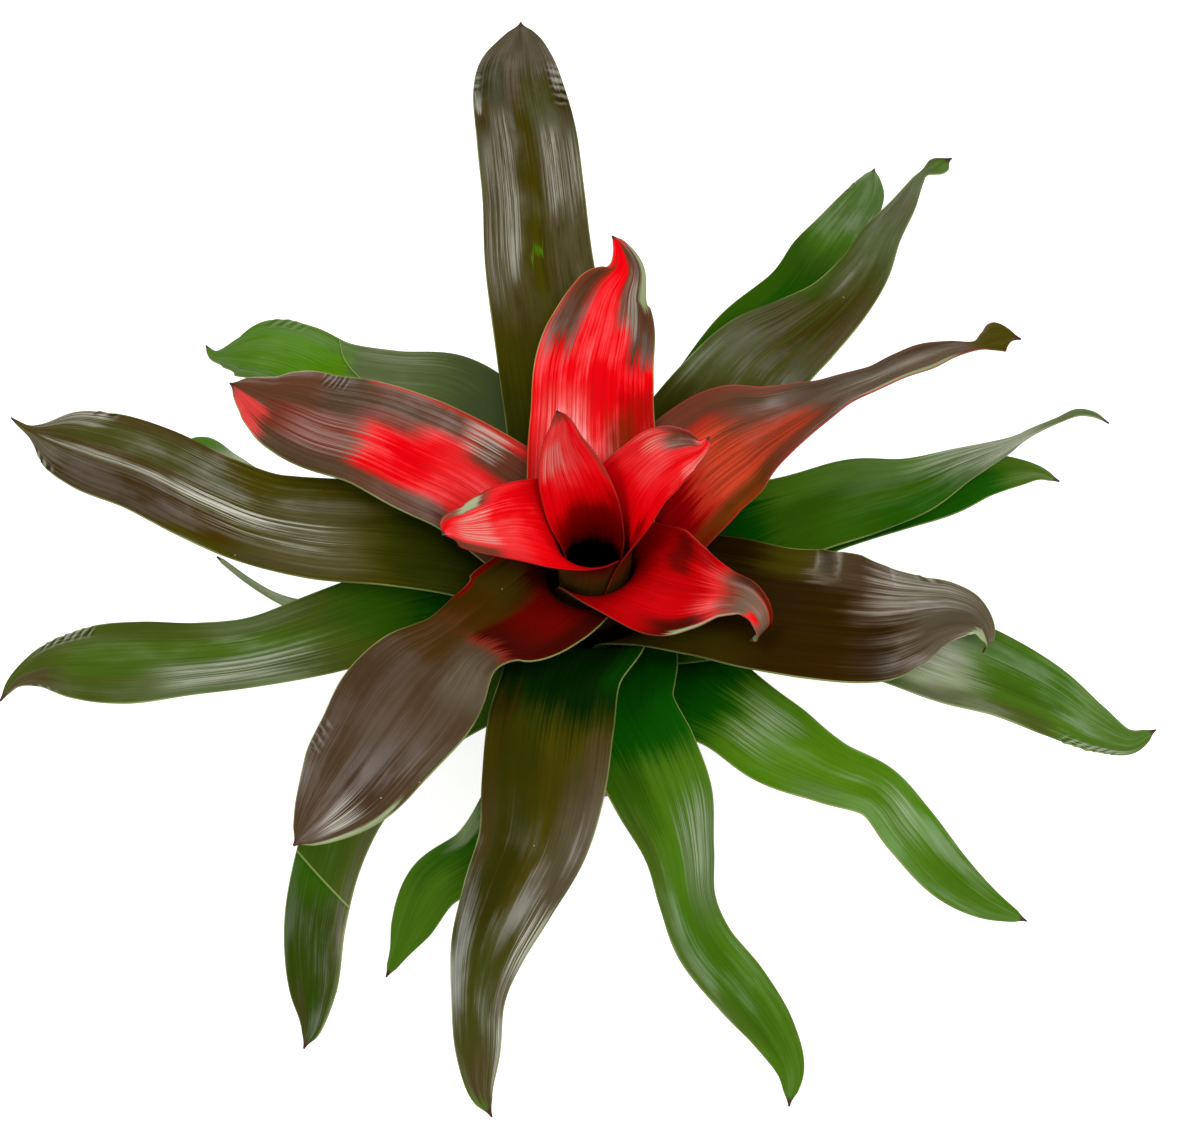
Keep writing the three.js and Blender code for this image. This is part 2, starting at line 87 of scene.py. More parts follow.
# Each leaf, from the cup outwards.
# heading: compass direction in degrees, counter-clockwise from +X
# layer: radius of its sheath in the bulb       exit: how far round the bulb the sheath stays
# channel: how far the blade's margins turn up, in degrees
# path: stations past the bulb, [reach from the axis, height, sway to the left, half width, roll]
LEAVES = [
    dict(name="leaf_01_cup_back", kind="cup", heading=106, layer=12.3, exit=90, channel=55,
         path=[[13, 165, 0, 26, 0], [14, 186, 0, 23, 0], [19, 203, 2, 19, 0], [24, 213, 4, 16, 0],
               [29, 225, 5, 10, 0], [33, 234, 4, 5, 0], [36, 240, 5, 1, 0]]),
    dict(name="leaf_02_cup_left", kind="cup", heading=189, layer=14.4, exit=90, channel=45,
         path=[[15, 165, 0, 32, 0], [16, 187, 0, 36, 0], [21, 198, 0, 31, 0], [32, 208, 1, 23, 0],
               [45, 215, 4, 17, 0], [54, 219, 5, 12, 0], [61, 222, 5, 7, 0], [65, 224, 8, 1, 0]]),
    dict(name="leaf_03_cup_right", kind="cup", heading=34, layer=16.4, exit=90, channel=45,
         path=[[17, 165, 0, 31, 0], [18, 187, 0, 26, 0], [23, 202, 1, 22, 0], [31, 215, 0, 18, 0],
               [39, 224, -3, 16, 0], [46, 229, -7, 10, 0], [50, 233, -10, 4, 0], [54, 236, -9, 1, 0]]),
    dict(name="leaf_04_red_front", kind="red", heading=322, layer=18.2, exit=90, channel=20,
         path=[[19, 160, 0, 36, 0], [22, 174, 0, 33, 8], [30, 185, 0, 28, 20], [44, 191, 2, 25, 26],
               [55, 196, 5, 18, 26], [65, 199, 9, 11, 18], [74, 200, 12, 8, 8], [82, 198, 11, 6, 0],
               [86, 194, 8, 5, 0], [86, 190, 5, 3, 0], [84, 188, 2, 1, 0]]),
    dict(name="leaf_05_red_lower_left", kind="red", heading=226, layer=19.8, exit=90, channel=18,
         path=[[21.5, 158, 0, 35, 0], [28, 172, 0, 32, 0], [42, 181, 2, 29, 0], [54, 187, 2.5, 27, 0],
               [66, 192, 0.5, 21.5, 0], [80, 199, 1, 19, 0], [100, 206, 4, 26, 0], [122, 212, 10, 29, 0],
               [142, 214, 15, 26, 0], [162, 214, 19, 22, 0], [180, 212, 20, 12, 0], [193, 210, 20, 1, 0]]),
    dict(name="leaf_06_red_back", kind="red", heading=90, layer=21.3, exit=90, channel=18,
         path=[[23, 157, 0, 35, 0], [30, 172, 0, 33, 0], [43, 182, 0, 30, 0], [60, 190, 0, 28, 0],
               [80, 199, -1, 27, 0], [97, 205, -5, 24, 0], [112, 209, -9, 18, 0], [125, 211, -15, 9, 0],
               [135, 213, -13, 4, 0], [142, 213, -9, 1, 0]]),
    dict(name="leaf_07_red_left", kind="red", heading=153, layer=22.9, exit=90, channel=16,
         path=[[25, 155, 0, 36, 0], [32, 170, 0, 34, 0], [46, 181, 0, 30, 0], [65, 189, 0, 28, 0],
               [85, 198, 4, 28, 0], [105, 206, 8, 26, 0], [125, 210, 14, 24, 0], [138, 212, 15.5, 22, 0],
               [147, 212, 16, 18.5, 0], [153, 212, 16, 14.5, 0], [158, 212, 15.5, 11, 0],
               [164, 212, 15, 7, 0], [171, 212, 15, 1, 0]]),
    dict(name="leaf_08_red_right", kind="red", heading=36, layer=24.4, exit=88, channel=20,
         path=[[27, 154, 0, 36, 0], [34, 168, 0, 33, 0], [47, 179, 0, 31, 0], [62, 186, 1, 30, 0],
               [80, 195, -2, 27, 0], [95, 201, -7, 20, -12], [112, 207, -12, 16, -28],
               [125, 210, -15, 14, -38], [140, 213, -20, 11, -36], [152, 214, -22, 10, -28],
               [164, 215, -25, 9, -20], [175, 216, -29, 7, -28], [185, 216, -34, 3, -20],
               [190, 216, -35, 5, 0], [196, 215, -36, 8, 0], [200, 215, -38, 4, 0],
               [204, 214, -42, 1, 0]]),
    dict(name="leaf_09_bronze_back", kind="bronze", heading=100, layer=25.9, exit=82, channel=14,
         path=[[30, 151, 0, 35, 0], [39, 166, 0, 33, 0], [56, 177, 0, 29, 0], [95, 189, 1, 26, 0],
               [140, 195, 0, 25, 0], [180, 192, -4, 24, 0], [220, 184, -7, 24, 0], [260, 171, -9, 22, 0],
               [284, 162, -12, 18, 0], [302, 155, -16, 11, 0], [318, 150, -19, 1, 0]]),
    dict(name="leaf_10_bronze_left", kind="bronze", heading=176, layer=27.6, exit=82, channel=14,
         path=[[32, 151, 0, 33, 0], [42, 164, 0, 31, 0], [58, 174, 0, 28, 0], [90, 186, 4, 26, 0],
               [120, 190, 6, 25, 0], [145, 191, 3, 23, 0], [170, 189, -7, 22, 0], [200, 184, -23, 21, 0],
               [225, 177, -34, 20, 0], [243, 172, -42, 15, 0], [256, 167, -48, 5, 0],
               [262, 165, -51, 2, 0], [271, 162, -58, 1, 0]]),
    dict(name="leaf_11_bronze_right", kind="bronze", heading=339, layer=28.9, exit=82, channel=10,
         path=[[33, 150, 0, 35, 0], [43, 163, 0, 32, 0], [60, 173, -1, 31, 0], [85, 183, -3, 31, 0],
               [105, 188, -1, 32, 0], [125, 189, 4, 30, 0], [138, 186, 12, 23, 0], [149, 181, 22, 16, 0],
               [157, 177, 28, 13, 0], [165, 173, 31, 10, 0], [171, 169, 30, 7, 0], [175, 166, 25, 4, 0],
               [175, 164, 20, 1, 0]]),
    dict(name="leaf_12_bronze_front", kind="bronze", heading=259, layer=30.4, exit=82, channel=16,
         path=[[35, 149, 0, 36, 0], [45, 162, 0, 32, 0], [60, 172, -1, 26, 0], [90, 183, 0, 27, 0],
               [120, 189, 3, 26, 0], [145, 190, 4, 23, 0], [170, 189, -1, 19.5, 0],
               [192, 186, -5, 15.5, 0], [212, 182, -5, 11, 0], [232, 176, -1, 9, 0], [246, 170, 3, 5, 0],
               [254, 166, 9, 1, 0]]),
    dict(name="leaf_13_bronze_upper_right", kind="bronze", heading=49, layer=31.9, exit=80, channel=14,
         path=[[38, 148, 0, 36, 0], [47, 160, 0, 33, 0], [62, 169, 1, 30, 0], [95, 180, 2, 28, 0],
               [120, 186, 2, 25, 0], [142, 188, -2, 20, 0], [165, 187, -4, 15, 0], [190, 184, -1, 12, 0],
               [215, 178, 7, 9, 0], [240, 170, 13, 6, 0], [260, 163, 19, 3, 0], [269, 159, 21, 2, 0],
               [277, 156, 20, 5, 0], [284, 153, 20, 4, 0], [289, 152, 19, 1, 0]]),
    dict(name="leaf_14_green_left", kind="green", heading=195, layer=33.3, exit=70, channel=14,
         path=[[46, 145, 0, 31, 0], [66, 157, 0, 27, 0], [95, 164, 2, 22, 0], [125, 166, 5, 20, 0],
               [155, 163, 4, 17, 0], [180, 156, -3, 17, 0], [205, 146, -13, 19, 0],
               [228, 134, -25, 17, 0], [248, 122, -35, 10, 0], [262, 113, -36, 4, 0],
               [271, 108, -30, 1, 0]]),
    dict(name="leaf_15_green_upper_left", kind="green", heading=128, layer=34.7, exit=68, channel=14,
         path=[[48, 145, 0, 30, 0], [66, 156, -2, 27, 0], [90, 163, -6, 23, 0], [110, 165, -2, 20, 0],
               [131, 164, 16, 18, 0], [154, 160, 33, 19, 0], [177, 154, 41, 20, 0],
               [195, 146, 50, 20, 0], [203, 142, 58, 11, 0], [210, 138, 64, 3, 0], [219, 134, 63, 1, 0]]),
    dict(name="leaf_16_green_front", kind="green", heading=285, layer=36.1, exit=68, channel=14,
         path=[[49, 144, -1, 30, 0], [68, 155, -5, 24, 0], [95, 162, -2, 23, 0], [120, 165, 0, 21, 0],
               [142, 164, 0, 15, 0], [162, 160, -2, 12, 0], [180, 155, 0, 12.5, 0],
               [200, 147, 10, 12.5, 0], [218, 138, 19, 10, 0], [234, 129, 23, 6, 0],
               [247, 122, 19, 1, 0]]),
    dict(name="leaf_17_green_lower_right", kind="green", heading=345, layer=37.5, exit=67, channel=14,
         path=[[50, 143, 0, 32, 0], [70, 155, 0, 28, 0], [100, 164, -1, 25, 0], [130, 165, -1, 24, 0],
               [160, 158, -2, 23, 0], [185, 150, -1, 20, 0], [210, 140, -2, 17, 0],
               [232, 129, -4, 12, 0], [249, 120, -2, 6, 0], [260, 115, 9, 1, 0]]),
    dict(name="leaf_18_green_lower_left", kind="green", heading=227, layer=38.9, exit=66, channel=14,
         path=[[51, 142, 0, 32, 0], [72, 154, 0, 25, 0], [100, 161, -1, 19, 0], [125, 163, 0, 18, 0],
               [150, 161, 2, 17, 0], [175, 155, 12, 15, 0], [198, 147, 26, 14, 0], [217, 138, 43, 11, 0],
               [228, 131, 52, 5, 0], [236, 126, 55, 1, 0]]),
    dict(name="leaf_19_green_upper_right", kind="green", heading=57, layer=40.3, exit=65, channel=14,
         path=[[53, 141, 0, 32, 0], [75, 153, 0, 26, 0], [105, 160, 2, 21, 0], [140, 162, 3, 19, 0],
               [180, 155, 0, 16, 0], [210, 143, 4, 16, 0], [240, 128, 9, 13, 0], [265, 114, 13, 11, 0],
               [283, 105, 17, 8, 0], [302, 95, 24, 1, 0]]),
    dict(name="leaf_20_green_right", kind="green", heading=16, layer=41.7, exit=62, channel=14,
         path=[[54, 138, 0, 32, 0], [72, 149, 0, 27, 0], [97, 158, 0, 21, 0], [125, 163, -1, 20, 0],
               [150, 162, -1, 15, 0], [175, 157, 6, 9, 0], [203, 145, 16, 4, 0], [212, 141, 20, 2.4, 0],
               [220, 137, 24, 2, 0], [238, 127, 32, 1.6, 0], [252, 120, 37, 2, 0],
               [260, 117, 35, 1.6, 0], [266, 113, 31, 1, 0]]),
    dict(name="leaf_21_green_front_right", kind="green", heading=312, layer=43.1, exit=61, channel=14,
         path=[[55, 136, 0, 32, 0], [72, 147, -3, 26, 0], [95, 156, -1, 21, 0], [120, 162, 1, 20, 0],
               [142, 163, 8, 15, 0], [162, 160, 18, 12.5, 0], [182, 154, 18, 13, 0],
               [204, 145, 19, 11.5, 0], [222, 136, 25, 7.5, 0], [239, 126, 36, 1, 0]]),
    dict(name="leaf_22_green_under_front", kind="green", heading=252, layer=44.5, exit=60, channel=12,
         path=[[56, 135, 0, 32, 0], [75, 146, 2, 22, 0], [100, 153, 4, 16, 0], [122, 155, 3, 15, 0],
               [142, 154, -4, 13, 0], [160, 151, -18, 12, 0], [178, 145, -22, 9, 0],
               [190, 140, -24, 4, 0], [200, 136, -26, 1, 0]]),
    dict(name="leaf_23_green_under_right", kind="green", heading=15, layer=45.9, exit=58, channel=12,
         path=[[57, 132, 0, 30, 0], [76, 142, 0, 23, 0], [105, 152, 0, 18, 0], [140, 155, 1, 17, 0],
               [165, 152, 3, 15, 0], [185, 147, 7, 12, 0], [205, 139, 9, 8, 0], [217, 134, 8, 4, 0],
               [226, 130, 3, 1, 0]]),
    dict(name="leaf_24_green_under_back", kind="green", heading=166, layer=47.3, exit=58, channel=12,
         path=[[58, 131, 0, 30, 0], [76, 142, 0, 22, 0], [105, 152, 0, 17, 0], [135, 153, -2, 15, 0],
               [160, 149, -5, 12, 0], [180, 144, -15, 11, 0], [195, 140, -26, 8, 0],
               [205, 137, -31, 1, 0]]),
    dict(name="leaf_25_green_under_left", kind="green", heading=190, layer=48.8, exit=56, channel=12,
         path=[[59, 128, 0, 30, 0], [76, 136, 0, 22, 0], [95, 143, -3, 14, 0], [112, 146, -5, 9, 0],
               [124, 147, -7, 5, 0], [132, 147, -11, 3, 0], [142, 146, -18, 2, 0],
               [152, 145, -28, 1.6, 0], [165, 143, -44, 1, 0]]),
]

# Crinkles beside a margin: side (1 left, -1 right), from and to along the leaf, how far in they
# reach as a share of the half width, height in mm, waves.
RUFFLES = {
    "leaf_05_red_lower_left": [(-1, 0.775, 0.845, 0.16, 0.5, 4)],
    "leaf_07_red_left": [(-1, 0.74, 0.82, 0.20, 0.7, 5)],
    "leaf_09_bronze_back": [(-1, 0.76, 0.87, 0.22, 0.8, 5), (1, 0.81, 0.87, 0.12, 0.8, 3)],
    "leaf_10_bronze_left": [(-1, 0.82, 0.87, 0.10, 0.7, 2), (1, 0.87, 0.93, 0.14, 0.9, 3)],
    "leaf_11_bronze_right": [(1, 0.55, 0.61, 0.30, 0.7, 1), (1, 0.80, 0.85, 0.12, 0.8, 1.5)],
    "leaf_14_green_left": [(-1, 0.81, 0.91, 0.22, 0.9, 6), (1, 0.86, 0.93, 0.10, 0.7, 3)],
    "leaf_15_green_upper_left": [(-1, 0.80, 0.88, 0.18, 0.4, 4)],
    "leaf_17_green_lower_right": [(-1, 0.82, 0.92, 0.22, 0.7, 6)],
    "leaf_19_green_upper_right": [(1, 0.88, 0.94, 0.12, 0.6, 2)],
}

# Ridges along the blade: place across it, from and to along it, height in mm, width as a share.
CREASES = {
    "leaf_08_red_right": [(0.32, 0.60, 0.90, 1.0, 0.16), (-0.12, 0.66, 0.92, 0.9, 0.14),
                          (-0.50, 0.55, 0.90, 0.8, 0.14)],
    "leaf_09_bronze_back": [(0.0, 0.45, 0.97, -0.7, 0.12)],
    "leaf_10_bronze_left": [(0.10, 0.52, 0.96, 1.3, 0.16)],
    "leaf_12_bronze_front": [(0.62, 0.62, 0.95, 1.2, 0.18), (0.05, 0.40, 0.85, -0.6, 0.12)],
    "leaf_13_bronze_upper_right": [(0.45, 0.40, 0.92, 1.0, 0.20)],
    "leaf_14_green_left": [(0.0, 0.40, 0.95, -0.6, 0.14)],
    "leaf_16_green_front": [(0.0, 0.35, 0.95, -0.7, 0.14)],
    "leaf_17_green_lower_right": [(0.0, 0.50, 0.95, -0.6, 0.14)],
    "leaf_20_green_right": [(0.10, 0.45, 0.75, 0.8, 0.18)],
    "leaf_21_green_front_right": [(0.0, 0.35, 0.95, -0.7, 0.14)],
}

# A margin folded over the blade: where it crosses the midrib, how it slants from margin to margin,
# and the colour on the plant's side of it.
FOLDS = {
    "leaf_15_green_upper_left": (0.63, -0.10, "grey_green"),
    "leaf_18_green_lower_left": (0.735, 0.035, "moss"),
}

# Colours that lie in hairlines along the veins, and how strong a hairline has to be to hold them.
STREAKED = ("pale", "umber")
STREAK_THRESHOLD = (0.42, 0.58)

# How far along its leaf the waxy bloom that shines starts, and where a leaf isn't named.
WAX_FROM = {
    "leaf_01_cup_back": 0.64, "leaf_02_cup_left": 0.56, "leaf_03_cup_right": 0.62,
    "leaf_04_red_front": 0.70, "leaf_05_red_lower_left": 0.45, "leaf_06_red_back": 0.28,
    "leaf_07_red_left": 0.34, "leaf_08_red_right": 0.50, "leaf_09_bronze_back": 0.44,
    "leaf_10_bronze_left": 0.44, "leaf_11_bronze_right": 0.70, "leaf_12_bronze_front": 0.58,
    "leaf_14_green_left": 0.48, "leaf_15_green_upper_left": 0.54, "leaf_16_green_front": 0.50,
    "leaf_18_green_lower_left": 0.72, "leaf_19_green_upper_right": 0.76, "leaf_20_green_right": 0.46,
    "leaf_22_green_under_front": 0.95, "leaf_23_green_under_right": 0.86,
}
WAX_USUAL = 0.38

# Markings on the upper face, painted in order over the kind's own colour: colour, strength,
# from and to along the leaf, from and to across it (-1 right margin, 1 left), softness.
# Pale and grey marks are bloom and painted highlight, pink on the cup's tips is partly painted
# sheen, and dark in the cup's throat is painted shade.
MARKINGS = {
    "leaf_01_cup_back": [
        # The dark patch deep in the cup is painted shade in its throat.
        ("deep_red", 0.90, 0.00, 0.55, -1.3, 1.3, 0.06), ("dark", 1.00, -0.10, 0.31, -0.9, 0.9, 0.05),
        ("deep_red", 0.70, 0.50, 0.64, -1.3, -0.7, 0.05), ("maroon", 0.60, 0.20, 0.50, -1.3, -0.85, 0.03),
        ("pink", 0.70, 0.74, 1.10, -0.4, 1.3, 0.05), ("pale", 0.40, 0.74, 0.86, 0.1, 0.85, 0.03),
        ("bronze", 0.60, 0.70, 0.90, -1.3, -0.82, 0.02), ("brown", 0.70, 0.95, 1.1, -1.3, 1.3, 0.02)],
    "leaf_02_cup_left": [
        ("deep_red", 0.90, 0.20, 0.46, -1.3, 1.3, 0.06), ("deep_red", 0.40, 0.46, 0.58, -1.3, 1.3, 0.05),
        ("pink", 0.60, 0.70, 1.00, -0.2, 1.0, 0.04), ("bronze", 0.85, 0.80, 0.97, 0.62, 1.3, 0.03),
        ("pale", 0.50, 0.81, 0.93, -0.5, 0.5, 0.03), ("bronze", 0.80, 0.80, 0.98, -1.3, -0.66, 0.03),
        ("pale_green", 0.90, 0.84, 0.93, -1.3, -0.70, 0.015)],
    "leaf_03_cup_right": [
        ("deep_red", 0.85, 0.20, 0.37, -1.3, 1.3, 0.05), ("maroon", 0.85, 0.15, 0.42, -1.3, -0.55, 0.05),
        ("deep_red", 0.85, 0.36, 0.61, -1.3, -0.45, 0.05), ("pink", 0.35, 0.68, 1.00, -0.2, 1.3, 0.05),
        ("pale", 0.45, 0.78, 0.87, 0.45, 0.95, 0.03), ("bronze", 0.90, 0.84, 0.96, 0.2, 0.85, 0.03),
        ("brown", 0.80, 0.85, 0.97, 0.8, 1.3, 0.02), ("pale", 0.50, 0.87, 0.97, -1.0, -0.55, 0.02)],
    "leaf_04_red_front": [
        ("deep_red", 0.75, 0.00, 0.52, -1.3, 1.3, 0.06), ("deep_red", 0.55, 0.50, 0.72, -1.3, 1.3, 0.05),
        ("deep_red", 0.60, 0.58, 0.72, 0.60, 1.3, 0.03), ("maroon", 0.75, 0.53, 0.63, 0.25, 0.95, 0.03),
        ("maroon", 0.95, 0.56, 0.71, -1.3, -0.62, 0.04),
        ("pink", 0.40, 0.70, 0.80, -0.8, 0.3, 0.03), ("bronze", 0.80, 0.745, 0.84, -1.3, 1.3, 0.03),
        ("deep_brown", 0.85, 0.77, 1.10, 0.62, 1.3, 0.03), ("grey", 0.90, 0.80, 1.10, -1.3, 0.6, 0.03),
        ("red", 0.95, 0.865, 0.915, -1.3, -0.45, 0.01), ("pale_green", 0.95, 0.62, 0.85, -1.3, -0.92, 0.01)],
    "leaf_05_red_lower_left": [
        ("maroon", 1.00, 0.00, 0.46, -1.3, 1.3, 0.04), ("deep_red", 0.50, 0.22, 0.36, -0.2, 0.7, 0.05),
        ("russet", 0.90, 0.26, 0.46, -1.3, -0.1, 0.04), ("olive", 0.55, 0.26, 0.36, -0.9, -0.3, 0.04),
        ("bronze", 1.00, 0.45, 1.10, -1.3, 1.3, 0.03), ("grey", 0.60, 0.50, 0.62, 0.2, 1.3, 0.04),
        ("russet", 0.80, 0.44, 0.56, -1.3, -0.1, 0.04), ("brown", 0.80, 0.76, 0.90, -0.2, 0.6, 0.04),
        ("brown", 0.40, 0.60, 0.95, -1.3, -0.3, 0.05), ("pale", 0.85, 0.885, 0.955, 0.15, 0.65, 0.03),
        ("deep_red", 0.85, 0.15, 0.40, -1.3, -0.92, 0.01), ("pale_green", 0.80, 0.84, 0.99, 0.88, 1.3, 0.01)],
    "leaf_06_red_back": [
        ("deep_red", 0.30, 0.20, 0.42, -1.3, 1.3, 0.05), ("pink", 0.35, 0.33, 0.55, 0.0, 0.9, 0.05),
        ("deep_red", 0.45, 0.35, 0.56, -1.3, -0.4, 0.05), ("pale", 0.25, 0.36, 0.55, 0.1, 0.8, 0.05),
        ("russet", 0.60, 0.36, 0.50, -0.70, -0.2, 0.04), ("umber", 0.30, 0.44, 0.56, -1.3, -0.6, 0.03),
        ("bronze", 0.90, 0.68, 0.90, 0.48, 1.00, 0.04), ("bronze", 0.95, 0.67, 0.97, -1.3, -0.55, 0.04),
        ("umber", 0.80, 0.66, 0.88, 0.45, 0.95, 0.03), ("umber", 0.90, 0.64, 0.80, -0.9, -0.5, 0.03),
        ("bronze", 0.90, 0.75, 0.97, -0.7, -0.2, 0.03), ("pale", 0.35, 0.74, 0.90, -0.7, -0.3, 0.03),
        ("bronze", 0.75, 0.90, 0.97, -0.9, -0.1, 0.03), ("pale_green", 0.70, 0.80, 0.97, -1.3, -0.78, 0.02)],
    "leaf_07_red_left": [
        ("deep_red", 0.60, 0.20, 0.36, -1.3, 0.6, 0.04), ("pink", 0.45, 0.36, 0.50, -1.3, 1.0, 0.05),
        ("bronze", 0.95, 0.28, 1.10, 0.62, 1.3, 0.04), ("bronze", 0.90, 0.30, 0.46, -0.85, -0.35, 0.03),
        ("bronze", 0.95, 0.47, 0.80, -1.3, -0.52, 0.04), ("bronze", 0.85, 0.58, 0.80, -0.7, -0.25, 0.04),
        ("pale", 0.60, 0.41, 0.49, -0.95, -0.45, 0.02), ("bronze", 0.95, 0.70, 1.10, -1.3, 1.3, 0.03),
        ("deep_red", 0.40, 0.71, 0.88, -0.2, 0.5, 0.04), ("pale", 0.22, 0.68, 0.84, -0.2, 0.6, 0.04),
        ("pink", 0.75, 0.89, 0.985, 0.15, 1.3, 0.02), ("red_margin", 0.80, 0.35, 0.70, -1.3, -0.92, 0.01)],
    "leaf_08_red_right": [
        ("deep_red", 0.80, 0.20, 0.33, -1.3, 1.3, 0.05), ("brick", 0.85, 0.34, 0.62, -0.85, 0.5, 0.05),
        ("bronze", 0.90, 0.24, 1.10, 0.55, 1.3, 0.04), ("bronze", 0.90, 0.44, 1.10, 0.15, 0.8, 0.05),
        ("bronze", 0.95, 0.57, 1.10, -1.3, 1.3, 0.05), ("olive", 0.75, 0.30, 0.50, -1.3, -0.65, 0.04),
        ("bronze", 0.30, 0.46, 0.56, -0.5, 0.2, 0.04), ("bronze", 0.75, 0.47, 0.60, -1.3, -0.55, 0.04),
        ("umber", 0.55, 0.34, 0.58, -0.9, 0.5, 0.04), ("grey", 0.60, 0.62, 0.92, -0.8, 0.3, 0.05),
        ("pale", 0.35, 0.68, 0.84, -0.2, 0.2, 0.04), ("pale_green", 0.80, 0.70, 0.86, -1.3, -0.78, 0.02),
        ("olive", 0.95, 0.905, 1.1, -1.3, 1.3, 0.01)],
    "leaf_09_bronze_back": [
        ("dark_olive", 0.70, 0.00, 0.34, -1.3, 1.3, 0.06), ("grey", 0.50, 0.40, 0.78, 0.24, 1.3, 0.05),
        ("grey", 0.50, 0.40, 0.76, -1.3, -0.24, 0.05), ("umber", 0.80, 0.36, 0.82, -1.3, 1.3, 0.05),
        ("pale", 0.60, 0.48, 0.78, 0.28, 0.62, 0.04), ("pale", 0.40, 0.44, 0.70, 0.62, 0.95, 0.04),
        ("pale", 0.75, 0.56, 0.74, -0.60, -0.26, 0.04), ("pale", 0.55, 0.57, 0.70, -0.98, -0.68, 0.04),
        ("olive", 0.25, 0.28, 0.82, -1.3, 1.3, 0.05), ("olive", 0.75, 0.30, 0.93, -0.08, 0.08, 0.02),
        ("russet", 0.50, 0.60, 0.90, -0.05, 0.04, 0.02), ("bronze", 0.75, 0.80, 1.10, -1.3, 1.3, 0.04),
        ("moss", 0.50, 0.74, 0.86, -0.7, 0.0, 0.04), ("grey", 0.65, 0.86, 1.10, -1.3, 1.3, 0.03),
        ("dark_olive", 0.70, 0.80, 0.90, 0.35, 0.95, 0.02), ("pale", 0.60, 0.77, 0.82, 0.84, 1.0, 0.01),
        ("pale", 0.40, 0.80, 0.88, -1.0, -0.78, 0.01), ("umber", 0.80, 0.93, 1.10, -0.12, 0.10, 0.02),
        ("bright_green", 0.90, 0.478, 0.490, -0.16, 0.14, 0.008)],
    "leaf_10_bronze_left": [
        ("dark_olive", 0.90, 0.00, 0.37, -1.3, 1.3, 0.05), ("grey", 0.35, 0.40, 0.52, -0.6, 0.9, 0.05),
        ("umber", 0.70, 0.55, 0.70, 0.15, 0.75, 0.04), ("russet", 0.65, 0.55, 0.68, 0.24, 0.8, 0.03),
        ("brown", 0.80, 0.66, 0.93, 0.20, 1.3, 0.04), ("bronze", 0.50, 0.62, 1.00, -1.3, 0.1, 0.05),
        ("moss", 0.60, 0.62, 0.90, -0.8, -0.2, 0.04), ("pale", 0.50, 0.46, 0.60, -0.15, 0.50, 0.04),
        ("pale", 1.00, 0.52, 0.68, -0.12, 0.22, 0.03), ("pale", 0.60, 0.66, 0.93, 0.02, 0.16, 0.02),
        ("grey", 0.80, 0.88, 0.98, 0.3, 1.3, 0.02), ("pale", 0.50, 0.84, 0.95, -0.95, -0.6, 0.02)],
    "leaf_11_bronze_right": [
        ("deep_brown", 1.00, 0.00, 0.74, -1.3, 1.3, 0.05), ("olive", 0.75, 0.40, 0.60, 0.6, 1.3, 0.05),
        ("olive", 0.40, 0.20, 0.46, -1.3, -0.5, 0.05), ("bronze", 0.80, 0.56, 0.90, 0.45, 1.3, 0.04),
        ("bronze", 0.80, 0.66, 0.90, -0.05, 0.7, 0.04), ("bronze", 0.85, 0.72, 1.10, -1.3, 1.3, 0.03),
        ("grey", 0.60, 0.76, 1.10, -1.3, 1.3, 0.03), ("grey", 0.70, 0.560, 0.595, 0.50, 0.95, 0.015),
        ("umber", 0.50, 0.76, 0.92, -0.6, 0.4, 0.03), ("pale", 0.25, 0.70, 0.90, 0.0, 0.9, 0.04),
        ("pale_green", 0.85, 0.93, 1.0, -1.3, -0.3, 0.01)],
    "leaf_12_bronze_front": [
        ("black_green", 1.00, 0.00, 0.39, -1.3, 1.3, 0.06), ("deep_green", 0.35, 0.00, 0.32, 0.7, 1.3, 0.05),
        ("russet", 0.50, 0.33, 0.44, -0.98, -0.6, 0.04), ("dark_olive", 0.85, 0.40, 0.82, -0.80, -0.1, 0.06),
        ("bronze", 0.70, 0.42, 0.66, 0.6, 1.3, 0.05), ("bronze", 0.45, 0.50, 0.72, -1.3, -0.75, 0.05),
        ("moss", 0.80, 0.74, 0.95, -1.3, 0.7, 0.05), ("grey", 0.50, 0.48, 0.70, 0.3, 1.3, 0.05),
        ("dark_olive", 0.60, 0.66, 0.84, -1.3, -0.55, 0.04), ("umber", 0.50, 0.45, 0.92, -1.3, 0.8, 0.05),
        ("pale", 0.75, 0.68, 0.80, 0.66, 1.0, 0.03), ("grey", 0.50, 0.80, 1.00, 0.6, 1.3, 0.03),
        ("pale", 0.70, 0.88, 0.96, 0.75, 1.0, 0.02), ("bronze", 0.60, 0.90, 1.10, -0.6, 0.5, 0.03),
        ("green", 0.90, 0.975, 1.0, -1.3, 0.2, 0.01)],
    "leaf_13_bronze_upper_right": [
        ("dark_olive", 0.70, 0.00, 0.35, -1.3, 1.3, 0.05), ("moss", 0.80, 0.35, 1.10, -1.3, 1.3, 0.05),
        ("grey", 0.45, 0.42, 0.54, 0.2, 1.3, 0.04), ("grey_green", 0.30, 0.36, 0.48, 0.3, 1.3, 0.04),
        ("umber", 0.50, 0.46, 0.62, -0.8, 0.9, 0.04), ("dark_green", 0.60, 0.54, 0.64, 0.5, 1.3, 0.04),
        ("umber", 0.50, 0.30, 0.80, -1.3, 0.9, 0.05), ("bronze", 0.45, 0.52, 0.62, -1.3, -0.5, 0.04),
        ("grey_green", 0.55, 0.68, 0.92, -1.3, 0.9, 0.05), ("grey", 0.45, 0.78, 0.90, -1.3, 1.3, 0.04),
        ("grey_green", 0.60, 0.86, 0.96, -1.3, 1.3, 0.04), ("green", 0.75, 0.952, 1.1, -1.3, 0.6, 0.01)],
    "leaf_14_green_left": [
        ("deep_green", 1.00, 0.00, 0.30, -1.3, 1.3, 0.04), ("dark_green", 0.80, 0.28, 0.42, -1.3, 0.5, 0.04),
